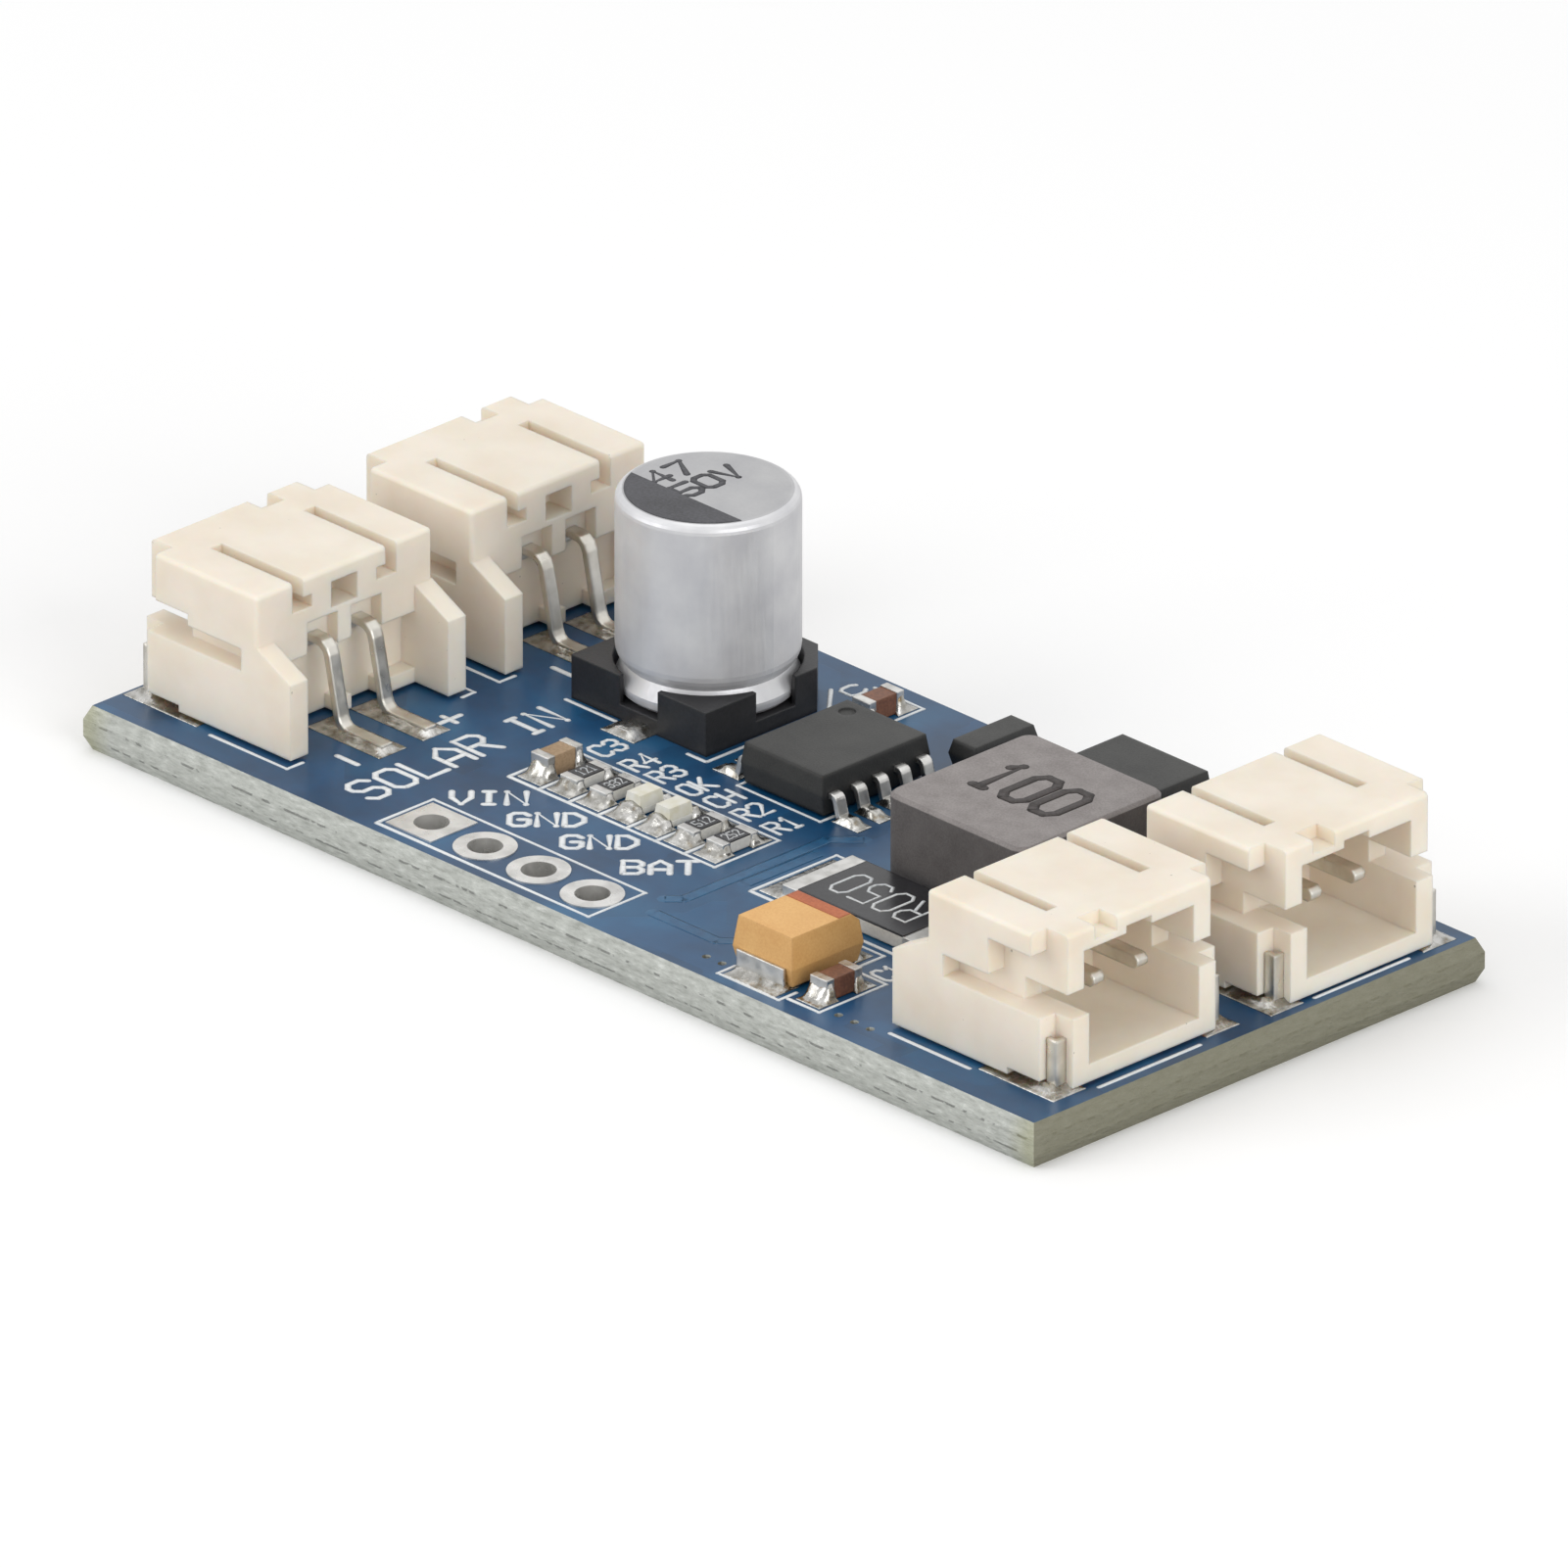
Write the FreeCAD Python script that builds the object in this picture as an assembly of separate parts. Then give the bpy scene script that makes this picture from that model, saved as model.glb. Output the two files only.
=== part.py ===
"""Solar charge controller module: a small circuit board that carries four two-way sockets,
a buck charger chip with its inductor, capacitors, diode and sense resistor, two lamps and
four plated holes. Millimetres. X runs along the board, Y across it and Z up, with the
origin at the centre of the board's underside."""
import FreeCAD, Part
import math
import os
from FreeCAD import Vector

# Circuit board
board_thickness = 1.6
score_bulge = 0.22          # how far the snapped web stands out past the top edge
score_depth = 0.5           # how far each score is cut down from its face
via_diameter = 0.3
via_edge = 1.12             # row of vias, from the near edge
via_spacing = 0.74

# Row of plated holes along the near edge
hole_pitch = 2.54
hole_count = 4
hole_edge = 1.72            # hole row, from the near edge
hole_diameter = 1.2         # inside the plating
hole_plating = 0.06
hole_land = 2.15
land_thickness = 0.05

# Two-way socket, from its mouth backwards and up from the board
contact_pitch = 2.0
cavity_side = 1.5           # from a contact's middle to the cavity's side wall
side_wall = 1.5
cavity_floor = 0.75         # floor of the cavity, up from the board
cavity_height = 4.0
roof_thickness = 0.75
socket_depth = 6.05         # mouth to rear wall
rear_wall = 1.1
socket_standoff = 0.12
socket_edge_radius = 0.15
socket_arm_length = 1.6
socket_arm_thickness = 0.8
socket_arm_root_height = 3.65
socket_arm_tip_height = 2.83
roof_groove_width = 1.15
roof_groove_depth = 0.27
roof_groove_length = 3.0
roof_setback = 0.25         # the roof's edge stands this far behind the mouth
roof_notch_length = 0.85
roof_notch_width = 1.0
roof_notch_offset = 1.5     # to one side of the socket's middle
roof_notch_drop = 0.5
roof_slot_width = 0.5
roof_slot_side = 0.38       # from the middle of a roof slot out to the cavity's side wall
roof_slot_front = 2.15
roof_slot_depth = 1.1
roof_slot_foot = 0.4        # the slot widens inwards by this at its foot
roof_slot_foot_height = 0.45
nose_inset = 0.74           # the side walls step in by this at the mouth
nose_lower_length = 0.8
nose_upper_length = 1.22
foot_relief_length = 1.5    # the side walls stand higher here, behind the solder tabs
foot_relief_height = 0.35
side_slot_bottom = 2.6
side_slot_height = 0.8
side_slot_length = 5.3
side_slot_open_length = 2.75
side_slot_open_height = 1.22
notch_side_open_length = 3.2    # the slot opens wider on the side of the roof's notch
notch_side_open_height = 2.1
side_slot_through_length = 2.2
rear_window_width = 1.2
rear_window_height = 0.95
rear_window_drop = 1.45     # from the top down to the window's sill
channel_width = 1.4
channel_depth = 0.5
channel_height = 1.15
rear_recess_depth = 0.65
rear_recess_top = 2.7
rear_recess_sill = 0.65

# Contacts of a socket
pin_size = 0.48
pin_height = 2.93
pin_front = 1.1             # tip of the pin, behind the mouth
pin_point = 0.15
tail_thickness = 0.25
tail_bend = 0.4
tail_shoulder = 0.35        # from the rear wall to the corner of the tail
tail_run = 0.62             # how far the tail leans back on its way down
tail_foot_length = 2.1
solder_tab_width = 0.45
solder_tab_height = 1.85
solder_tab_thickness = 0.2
solder_tab_return = 0.45    # length of the tab's outer side
solder_tab_gap = 0.05       # to the wall behind the tab
solder_tab_foot = 1.0

# Can capacitor
can_diameter = 6.2
can_height = 7.7            # top of the can above the board
can_top_radius = 0.35
can_bead_height = 1.05      # the widest part of the bead under the groove
can_groove_height = 1.6
can_groove_depth = 0.28
can_curl_height = 0.3       # from the groove to where the straight wall would start
can_curl_radius = 0.7
can_bottom_radius = 0.4
can_base_margin = 0.1       # the base stands out past the can on every side
can_base_thickness = 0.55
can_base_corner = 1.3       # cut off the two far corners
can_post_height = 1.6
can_post_leg = 2.3
can_post_clearance = 0.06
can_lead_width = 0.7
can_lead_length = 2.6
can_lead_thickness = 0.2
can_lead_overhang = 0.75

# Charger chip
chip_width = 3.9
chip_length = 4.9
chip_height = 1.55
chip_standoff = 0.1
chip_lead_count = 5
chip_lead_pitch = 1.0
chip_lead_width = 0.42
chip_lead_thickness = 0.2
chip_lead_span = 6.0
chip_lead_foot = 0.6
chip_dimple_diameter = 0.6
chip_dimple_depth = 0.08
chip_dimple_edge = 0.75

# Moulded inductor
inductor_length = 6.5
inductor_width = 6.7
inductor_height = 3.0
inductor_corner = 0.55
inductor_edge = 0.12
inductor_terminal_width = 3.0
inductor_terminal_height = 1.4
inductor_terminal_thickness = 0.15
inductor_terminal_foot = 1.6

# Sense resistor
shunt_length = 6.35
shunt_width = 3.2
shunt_height = 0.55
shunt_coat = 0.08
shunt_cap_length = 0.7
shunt_cap_thickness = 0.04

# Tantalum capacitor
tantalum_length = 3.5
tantalum_width = 2.8
tantalum_height = 1.9
tantalum_draft = 0.14
tantalum_bevel = 0.3        # along the top edge at the marked end
tantalum_parting = 0.8
tantalum_terminal_width = 2.2
tantalum_terminal_thickness = 0.12
tantalum_terminal_foot = 0.8

# Rectifier diode
diode_length = 4.3
diode_width = 2.6
diode_height = 2.3
diode_draft = 0.15
diode_parting = 1.1
diode_lead_width = 1.5
diode_lead_thickness = 0.2
diode_lead_span = 5.1
diode_lead_foot = 1.1

# Small transistor
transistor_length = 2.9
transistor_width = 1.3
transistor_height = 1.1
transistor_standoff = 0.08
transistor_draft = 0.12
transistor_parting = 0.6
transistor_lead_pitch = 1.9
transistor_lead_width = 0.42
transistor_lead_thickness = 0.12
transistor_lead_span = 2.5
transistor_lead_foot = 0.4

# Parts of one size: resistors, ceramic capacitors and lamps
chip_part_length = 1.6
chip_part_width = 0.8
chip_cap_length = 0.32
chip_cap_thickness = 0.03
resistor_height = 0.45
resistor_coat = 0.04
ceramic_height = 0.8
lamp_base_height = 0.3
lamp_height = 0.7
lamp_lens_length = 1.1
lamp_lens_draft = 0.06

# Gaps along the board, from its left end to its right end
left_near_mouth = 0.23      # how far each mouth stands in from its end of the board
left_far_mouth = 0.3
right_near_mouth = 0.78
right_far_mouth = 0.47
socket_to_can_gap = 1.18
can_to_chip_gap = 1.25
chip_to_inductor_gap = 3.25
inductor_to_socket_gap = 0.91
socket_to_holes_gap = 3.975
socket_to_row_gap = 4.53
row_gap = 0.585             # between neighbours in the row of chip parts
row_count = 7
row_to_shunt_gap = 3.61
shunt_to_socket_gap = 1.65
ceramic_to_socket_gap = 2.72
tantalum_to_ceramic_gap = 0.55
via_to_part_gap = 0.44
ceramic_to_can_gap = 1.2
transistor_shift = 2.6      # from the chip's middle

# Gaps across the board, from its near edge to its far edge
socket_near_margin = 1.53
socket_gap = 1.74
socket_far_margin = 0.93
right_near_shift = 0.25     # the right sockets stand this much further back than the left ones
right_far_shift = 0.15
holes_to_row_gap = 3.955
row_to_chip_gap = 2.77
row_to_can_gap = 3.4
chip_to_transistor_gap = 0.83
transistor_far_margin = 0.45
can_far_margin = 2.05
tantalum_near_margin = 1.05
tantalum_to_shunt_gap = 1.4
shunt_to_inductor_gap = 0.55
inductor_to_diode_gap = 0.6
diode_far_margin = 0.6
ceramic_near_margin = 1.45
ceramic_far_margin = 1.3

# Sizes that follow from the ones above
can_base_size = can_diameter + 2 * can_base_margin
cavity_width = contact_pitch + 2 * cavity_side
cavity_top = cavity_floor + cavity_height
cavity_depth = socket_depth - rear_wall
socket_width = cavity_width + 2 * side_wall
socket_height = cavity_top + roof_thickness
socket_arm_reach = socket_depth + socket_arm_length
socket_reach = max(socket_depth + tail_shoulder + tail_run + tail_foot_length, socket_arm_reach)
row_pitch = chip_part_width + row_gap
row_length = (row_count - 1) * row_pitch + chip_part_width

# Places along the board, from its left end
far_line = (left_far_mouth + socket_reach + socket_to_can_gap + can_base_size + can_to_chip_gap
            + chip_lead_span + chip_to_inductor_gap + inductor_length + inductor_to_socket_gap
            + socket_reach + right_far_mouth)
near_line = (left_near_mouth + socket_reach + socket_to_row_gap + row_length + row_to_shunt_gap
             + shunt_length + shunt_to_socket_gap + socket_reach + right_near_mouth)
board_length = max(far_line, near_line)
can_x = left_far_mouth + socket_reach + socket_to_can_gap + can_base_size / 2
chip_x = can_x + can_base_size / 2 + can_to_chip_gap + chip_lead_span / 2
hole_start = left_near_mouth + socket_reach + socket_to_holes_gap + hole_land / 2
row_start = left_near_mouth + socket_reach + socket_to_row_gap + chip_part_width / 2
inductor_x = board_length - right_far_mouth - socket_reach - inductor_to_socket_gap - inductor_length / 2
diode_x = inductor_x
shunt_x = board_length - right_near_mouth - socket_reach - shunt_to_socket_gap - shunt_length / 2
right_near_arm_end = board_length - right_near_mouth - socket_arm_reach
ceramic_1_x = right_near_arm_end - ceramic_to_socket_gap - chip_part_width / 2
tantalum_x = ceramic_1_x - chip_part_width / 2 - tantalum_to_ceramic_gap - tantalum_width / 2
ceramic_2_x = can_x + can_base_size / 2 + ceramic_to_can_gap + chip_part_width / 2
transistor_x = chip_x + transistor_shift
left_via = tantalum_x - tantalum_width / 2 - via_to_part_gap
right_via = ceramic_1_x + chip_part_width / 2 + 2 * via_to_part_gap
via_places = [left_via - via_spacing, left_via] + [right_via + via_spacing * step for step in range(3)]

# Places across the board, from its near edge
left_near_centre = socket_near_margin + socket_width / 2
left_far_centre = left_near_centre + socket_width + socket_gap
right_near_centre = left_near_centre + right_near_shift
right_far_centre = left_far_centre + right_far_shift
tantalum_y = tantalum_near_margin + tantalum_length / 2
shunt_y = tantalum_y + tantalum_length / 2 + tantalum_to_shunt_gap + shunt_width / 2
inductor_y = shunt_y + shunt_width / 2 + shunt_to_inductor_gap + inductor_width / 2
diode_y = inductor_y + inductor_width / 2 + inductor_to_diode_gap + diode_width / 2
row_y = hole_edge + hole_land / 2 + holes_to_row_gap + chip_part_length / 2
can_y = row_y + chip_part_length / 2 + row_to_can_gap + can_base_size / 2
chip_y = row_y + chip_part_length / 2 + row_to_chip_gap + chip_length / 2
transistor_y = chip_y + chip_length / 2 + chip_to_transistor_gap + transistor_length / 2
board_width = max(left_far_centre + socket_width / 2 + socket_far_margin,
                  diode_y + diode_width / 2 + diode_far_margin,
                  transistor_y + transistor_length / 2 + transistor_far_margin,
                  can_y + can_base_size / 2 + can_far_margin)
ceramic_1_y = ceramic_near_margin + chip_part_length / 2
ceramic_2_y = board_width - ceramic_far_margin - chip_part_length / 2


def block(x0, x1, y0, y1, z0, z1):
    """Box between two corners."""
    return Part.makeBox(x1 - x0, y1 - y0, z1 - z0, Vector(x0, y0, z0))


def centred_block(length, width, z0, z1):
    """Box centred on the Z axis."""
    return block(-length / 2, length / 2, -width / 2, width / 2, z0, z1)


def side_prism(outline, width):
    """Outline in X and Z, extruded across Y and centred on it."""
    points = [Vector(x, -width / 2, z) for x, z in outline]
    face = Part.Face(Part.makePolygon(points + [points[0]]))
    return face.extrude(Vector(0, width, 0))


def plan_prism(outline, z0, z1):
    """Outline in X and Y, extruded upwards."""
    points = [Vector(x, y, z0) for x, y in outline]
    face = Part.Face(Part.makePolygon(points + [points[0]]))
    return face.extrude(Vector(0, 0, z1 - z0))


def edges_where(shape, test):
    """Edges of a shape whose two ends both pass a test."""
    return [e for e in shape.Edges if len(e.Vertexes) == 2 and all(test(v.Point) for v in e.Vertexes)]


def upright_edges(shape):
    """Edges that run along Z."""
    picked = []
    for edge in shape.Edges:
        if len(edge.Vertexes) == 2:
            run = edge.Vertexes[1].Point - edge.Vertexes[0].Point
            if abs(run.x) + abs(run.y) < 1e-6:
                picked.append(edge)
    return picked


def rounded(points, radius, chords):
    """Points of a route in X and Z with each corner turned into a few chords of an arc."""
    route = [points[0]]
    for before, corner, after in zip(points, points[1:], points[2:]):
        here = Vector(corner[0], 0, corner[1])
        back = (Vector(before[0], 0, before[1]) - here).normalize()
        ahead = (Vector(after[0], 0, after[1]) - here).normalize()
        half = back.getAngle(ahead) / 2
        centre = here + (back + ahead).normalize() * (radius / math.sin(half))
        first = here + back * (radius / math.tan(half)) - centre
        last = here + ahead * (radius / math.tan(half)) - centre
        sweep = first.getAngle(last)
        for step in range(chords + 1):
            share = step / chords
            ray = first * math.sin((1 - share) * sweep) + last * math.sin(share * sweep)
            spot = centre + ray * (1 / math.sin(sweep))
            route.append((spot.x, spot.z))
    return route + [points[-1]]


def formed_strip(points, bend, width, thickness):
    """Flat metal strip bent along a route in X and Z, centred across Y. Bend is its inner radius."""
    route = [Vector(x, 0, z) for x, z in rounded(points, bend + thickness / 2, 3)]
    left, right = [], []
    for index, spot in enumerate(route):
        runs = []
        if index > 0:
            runs.append((spot - route[index - 1]).normalize())
        if index < len(route) - 1:
            runs.append((route[index + 1] - spot).normalize())
        normals = [Vector(-run.z, 0, run.x) for run in runs]
        normal = sum(normals[1:], normals[0]).normalize()
        reach = thickness / 2 / normal.dot(normals[0])
        left.append((spot.x + normal.x * reach, spot.z + normal.z * reach))
        right.append((spot.x - normal.x * reach, spot.z - normal.z * reach))
    return side_prism(left + right[::-1], width)


def turned(shape, degrees):
    """Copy of a shape, turned about the Z axis."""
    copy = shape.copy()
    copy.rotate(Vector(0, 0, 0), Vector(0, 0, 1), degrees)
    return copy


def moved(shape, x, y, z=0.0):
    """Copy of a shape, moved."""
    copy = shape.copy()
    copy.translate(Vector(x, y, z))
    return copy


def on_board(shape, from_left, from_near):
    """Copy of a shape made about the origin, set on the board's top."""
    return moved(shape, from_left - board_length / 2, from_near - board_width / 2, board_thickness)


def stacked(length, width, levels):
    """Block lofted through rectangles that stand out from its length and width by each level's reach."""
    rings = []
    for height, reach in levels:
        x = length / 2 + reach
        y = width / 2 + reach
        ring = [Vector(-x, -y, height), Vector(x, -y, height), Vector(x, y, height), Vector(-x, y, height)]
        rings.append(Part.makePolygon(ring + [ring[0]]))
    return Part.makeLoft(rings, True, True)


def moulded_body(length, width, bottom, parting, top, draft):
    """Moulded package: both halves taper away from the parting line."""
    return stacked(length, width, ((bottom, -draft), (parting, 0.0), (top, -draft)))


def circuit_board():
    """Board whose scored edges leave a snapped web, with the header holes and vias drilled."""
    upper_score = board_thickness - score_depth
    board = stacked(board_length, board_width, ((0.0, 0.0), (score_depth, score_bulge),
                                                (upper_score, score_bulge), (board_thickness, 0.0)))
    for index in range(hole_count):
        drill = Part.makeCylinder(hole_diameter / 2 + hole_plating, board_thickness,
                                  Vector(0, 0, -board_thickness))
        board = board.cut(on_board(drill, hole_start + index * hole_pitch, hole_edge))
    for place in via_places:
        drill = Part.makeCylinder(via_diameter / 2, board_thickness, Vector(0, 0, -board_thickness))
        board = board.cut(on_board(drill, place, via_edge))
    return board


def header_hole_plating():
    """Plated barrel with a raised land for each hole; the first land is square."""
    eyelets = []
    radius = hole_diameter / 2
    for index in range(hole_count):
        eyelet = Part.makeCylinder(radius + hole_plating, board_thickness, Vector(0, 0, -board_thickness))
        if index == 0:
            land = centred_block(hole_land, hole_land, 0, land_thickness)
        else:
            land = Part.makeCylinder(hole_land / 2, land_thickness)
        bore = Part.makeCylinder(radius, board_thickness + land_thickness, Vector(0, 0, -board_thickness))
        eyelet = eyelet.fuse(land).cut(bore)
        eyelets.append(on_board(eyelet, hole_start + index * hole_pitch, hole_edge))
    return Part.makeCompound(eyelets)


def socket_body():
    """Side-entry socket moulding. Its mouth is at X = 0 and its rear wall looks along +X."""
    tip = socket_arm_reach
    half = socket_width / 2
    side = [(0, socket_standoff), (tip, socket_standoff), (tip, socket_arm_tip_height),
            (socket_depth, socket_arm_root_height), (0, socket_arm_root_height)]
    lower = side_prism(side, socket_width)
    lower = lower.cut(block(0, roof_setback, -half, half, side_slot_bottom, socket_arm_root_height))
    upper = block(roof_setback, socket_depth, -half, half, side_slot_bottom, socket_height)
    rims = edges_where(upper, lambda p: abs(p.z - socket_height) < 1e-6)
    rims += [e for e in upright_edges(upper) if abs(e.Vertexes[0].Point.x - socket_depth) < 1e-6]
    body = upper.makeFillet(socket_edge_radius, rims).fuse(lower).removeSplitter()

    # Space between the rear arms
    arm_gap = half - socket_arm_thickness
    body = body.cut(block(socket_depth, tip, -arm_gap, arm_gap, socket_standoff, socket_height))

    # Cavity with a groove in its roof, and the notch in the roof's front edge
    cavity = block(0, cavity_depth, -cavity_width / 2, cavity_width / 2, cavity_floor, cavity_top)
    groove_half = roof_groove_width / 2
    groove = block(0, roof_groove_length, -groove_half, groove_half,
                   cavity_top, cavity_top + roof_groove_depth)
    notch_near = roof_notch_offset - roof_notch_width / 2
    notch = block(0, roof_setback + roof_notch_length, notch_near, notch_near + roof_notch_width,
                  socket_height - roof_notch_drop, socket_height)
    body = body.cut(cavity).cut(groove).cut(notch)

    # Side walls step in at the mouth
    inset_face = half - nose_inset
    for side_sign in (-1, 1):
        near, far = sorted((side_sign * inset_face, side_sign * half))
        body = body.cut(block(0, nose_lower_length, near, far, socket_standoff, side_slot_bottom))
        relief_end = nose_lower_length + foot_relief_length
        body = body.cut(block(0, relief_end, near, far, socket_standoff, foot_relief_height))
        body = body.cut(block(0, nose_upper_length, near, far, side_slot_bottom, socket_height))

    # Slot along each side: a shallow pocket that opens out and breaks through near the mouth
    slot_top = side_slot_bottom + side_slot_height
    for side_sign, open_length, open_height in ((-1, side_slot_open_length, side_slot_open_height),
                                                (1, notch_side_open_length, notch_side_open_height)):
        near, far = sorted((side_sign * inset_face, side_sign * half))
        body = body.cut(block(0, side_slot_length, near, far, side_slot_bottom, slot_top))
        open_top = side_slot_bottom + open_height
        body = body.cut(block(0, open_length, near, far, side_slot_bottom, open_top))
        near, far = sorted((side_sign * cavity_width / 2, side_sign * half))
        body = body.cut(block(0, side_slot_through_length, near, far, side_slot_bottom, slot_top))

    # Two slots along the roof, open at the rear wall and wider at the foot
    for side_sign in (-1, 1):
        middle = side_sign * (cavity_width / 2 - roof_slot_side)
        near, far = middle - roof_slot_width / 2, middle + roof_slot_width / 2
        floor = socket_height - roof_slot_depth
        body = body.cut(block(roof_slot_front, socket_depth, near, far, floor, socket_height))
        foot_near, foot_far = sorted((middle, middle - side_sign * (roof_slot_width / 2 + roof_slot_foot)))
        foot_top = floor + roof_slot_foot_height
        body = body.cut(block(cavity_depth, socket_depth, foot_near, foot_far, floor, foot_top))

    # Rear wall: window, contact channels and the recess over the floor's lip
    sill = socket_height - rear_window_drop
    body = body.cut(block(cavity_depth, socket_depth, -rear_window_width / 2, rear_window_width / 2,
                          sill, sill + rear_window_height))
    recess_face = socket_depth - rear_recess_depth
    body = body.cut(block(recess_face, socket_depth, -arm_gap, arm_gap, rear_recess_sill, rear_recess_top))
    channel_top = rear_recess_top + channel_height
    for side_sign in (-1, 1):
        middle = side_sign * contact_pitch / 2
        near, far = middle - channel_width / 2, middle + channel_width / 2
        channel = block(socket_depth - channel_depth, socket_depth, near, far,
                        rear_recess_top, channel_top)
        body = body.cut(channel)
        body = body.cut(block(recess_face, socket_depth, near, far, socket_standoff, rear_recess_sill))
        pin_near, pin_far = middle - pin_size / 2, middle + pin_size / 2
        body = body.cut(block(cavity_depth, socket_depth, pin_near, pin_far,
                              pin_height - pin_size / 2, pin_height + pin_size / 2))
    return body


def socket_contacts():
    """Two square pins that leave the rear wall, bend down and end in a foot on the board."""
    wall = socket_depth - channel_depth
    top = pin_height + pin_size / 2
    bottom = pin_height - pin_size / 2
    tip = [(pin_front, pin_height - pin_size / 2 + pin_point), (pin_front, top - pin_point),
           (pin_front + pin_point, top), (wall, top), (wall, bottom), (pin_front + pin_point, bottom)]
    corner_x = socket_depth + tail_shoulder
    foot_level = tail_thickness / 2
    heel_x = corner_x + tail_run
    route = [(wall, top - tail_thickness / 2), (corner_x, top - tail_thickness / 2),
             (heel_x, foot_level), (heel_x + tail_foot_length, foot_level)]
    tail = formed_strip(route, tail_bend, pin_size, tail_thickness)
    contact = side_prism(tip, pin_size).fuse(tail)
    return Part.makeCompound([moved(contact, 0, side * contact_pitch / 2) for side in (-1, 1)])


def socket_tabs():
    """Two solder tabs, each an angle that stands in the step beside the mouth on a foot."""
    tabs = []
    back = nose_lower_length - solder_tab_gap
    front = back - solder_tab_return
    inner = socket_width / 2 - nose_inset
    outer = inner + solder_tab_width
    for side_sign in (-1, 1):
        near, far = sorted((side_sign * inner, side_sign * outer))
        face = block(front, front + solder_tab_thickness, near, far, 0, solder_tab_height)
        near, far = sorted((side_sign * (outer - solder_tab_thickness), side_sign * outer))
        side = block(front, back, near, far, 0, solder_tab_height)
        near, far = sorted((side_sign * (inner - nose_inset), side_sign * outer))
        foot = block(front, front + solder_tab_foot, near, far, 0, socket_standoff)
        tabs.append(face.fuse(side).fuse(foot).removeSplitter())
    return Part.makeCompound(tabs)


def place_socket(shape, mouth, centre, faces_left):
    """Set a socket piece at its end of the board."""
    if faces_left:
        return on_board(shape, mouth, centre)
    return on_board(turned(shape, 180), board_length - mouth, centre)


def capacitor_can():
    """Drawn can with a rolled groove over its rubber seal, turned about its axis."""
    radius = can_diameter / 2
    low = can_base_thickness
    neck = radius - can_groove_depth
    wall = can_groove_height + can_curl_height
    bead = rounded([(0, low), (radius, low), (radius, can_bead_height)], can_bottom_radius, 3)
    curl = rounded([(neck, can_groove_height), (radius, wall), (radius, can_height)], can_curl_radius, 3)
    rim = rounded([(radius, wall), (radius, can_height), (0, can_height)], can_top_radius, 5)
    points = [Vector(x, 0, z) for x, z in bead + curl[:-1] + rim[1:]]
    return Part.Face(Part.makePolygon(points + [points[0]])).revolve(Vector(0, 0, 0), Vector(0, 0, 1), 360)


def capacitor_base():
    """Base plate with two cut corners and a post in each corner that hugs the can."""
    half = can_base_size / 2
    cut = half - can_base_corner
    outline = [(-half, -half), (half, -half), (half, cut), (cut, half), (-cut, half), (-half, cut)]
    base = plan_prism(outline, 0, can_post_height)
    hug = Part.makeCylinder(can_diameter / 2 + can_post_clearance, can_post_height,
                            Vector(0, 0, can_base_thickness))
    reach = half - can_post_leg
    across = block(-half, half, -reach, reach, can_base_thickness, can_post_height)
    along = block(-reach, reach, -half, half, can_base_thickness, can_post_height)
    base = base.cut(hug).cut(across).cut(along)
    slot_half = can_lead_width / 2
    slot = block(-slot_half, slot_half, -half, half, 0, can_lead_thickness)
    return base.cut(slot)


def capacitor_leads():
    """Two flat leads in the groove under the base."""
    half = can_base_size / 2
    leads = []
    for side_sign in (-1, 1):
        end = side_sign * (half + can_lead_overhang)
        start = end - side_sign * can_lead_length
        near, far = sorted((start, end))
        leads.append(block(-can_lead_width / 2, can_lead_width / 2, near, far, 0, can_lead_thickness))
    return Part.makeCompound(leads)


def gull_wing(edge, span, exit_height, width, thickness, foot):
    """Lead that leaves a package side, steps down to the board and ends in a foot, along +X."""
    tip = span / 2
    heel = tip - foot
    shoulder = edge + (heel - edge) * 0.55
    route = [(edge, exit_height), (shoulder, exit_height), (heel, thickness / 2), (tip, thickness / 2)]
    return formed_strip(route, thickness * 0.4, width, thickness)


def chip_body():
    """Moulded package with its index dimple."""
    parting = (chip_standoff + chip_height) / 2
    draft = (chip_height - chip_standoff) / 2 * math.tan(math.radians(8))
    body = moulded_body(chip_width, chip_length, chip_standoff, parting, chip_height, draft)
    dimple = Part.makeCylinder(chip_dimple_diameter / 2, chip_dimple_depth,
                               Vector(chip_dimple_edge - chip_width / 2, chip_length / 2 - chip_dimple_edge,
                                      chip_height - chip_dimple_depth))
    return body.cut(dimple)


def chip_leads():
    """Five leads a side."""
    exit_height = (chip_standoff + chip_height) / 2
    lead = gull_wing(chip_width / 2, chip_lead_span, exit_height, chip_lead_width,
                     chip_lead_thickness, chip_lead_foot)
    leads = []
    for index in range(chip_lead_count):
        offset = (index - (chip_lead_count - 1) / 2) * chip_lead_pitch
        leads.append(moved(lead, 0, offset))
        leads.append(moved(turned(lead, 180), 0, offset))
    return Part.makeCompound(leads)


def inductor_body():
    """Pressed powder block with rounded corners, relieved where the terminals lie."""
    body = centred_block(inductor_length, inductor_width, 0, inductor_height)
    body = body.makeFillet(inductor_corner, upright_edges(body))
    top_rim = edges_where(body, lambda p: abs(p.z - inductor_height) < 1e-6)
    body = body.makeChamfer(inductor_edge, top_rim)
    for terminal in inductor_terminals().Solids:
        body = body.cut(terminal)
    return body


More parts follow.
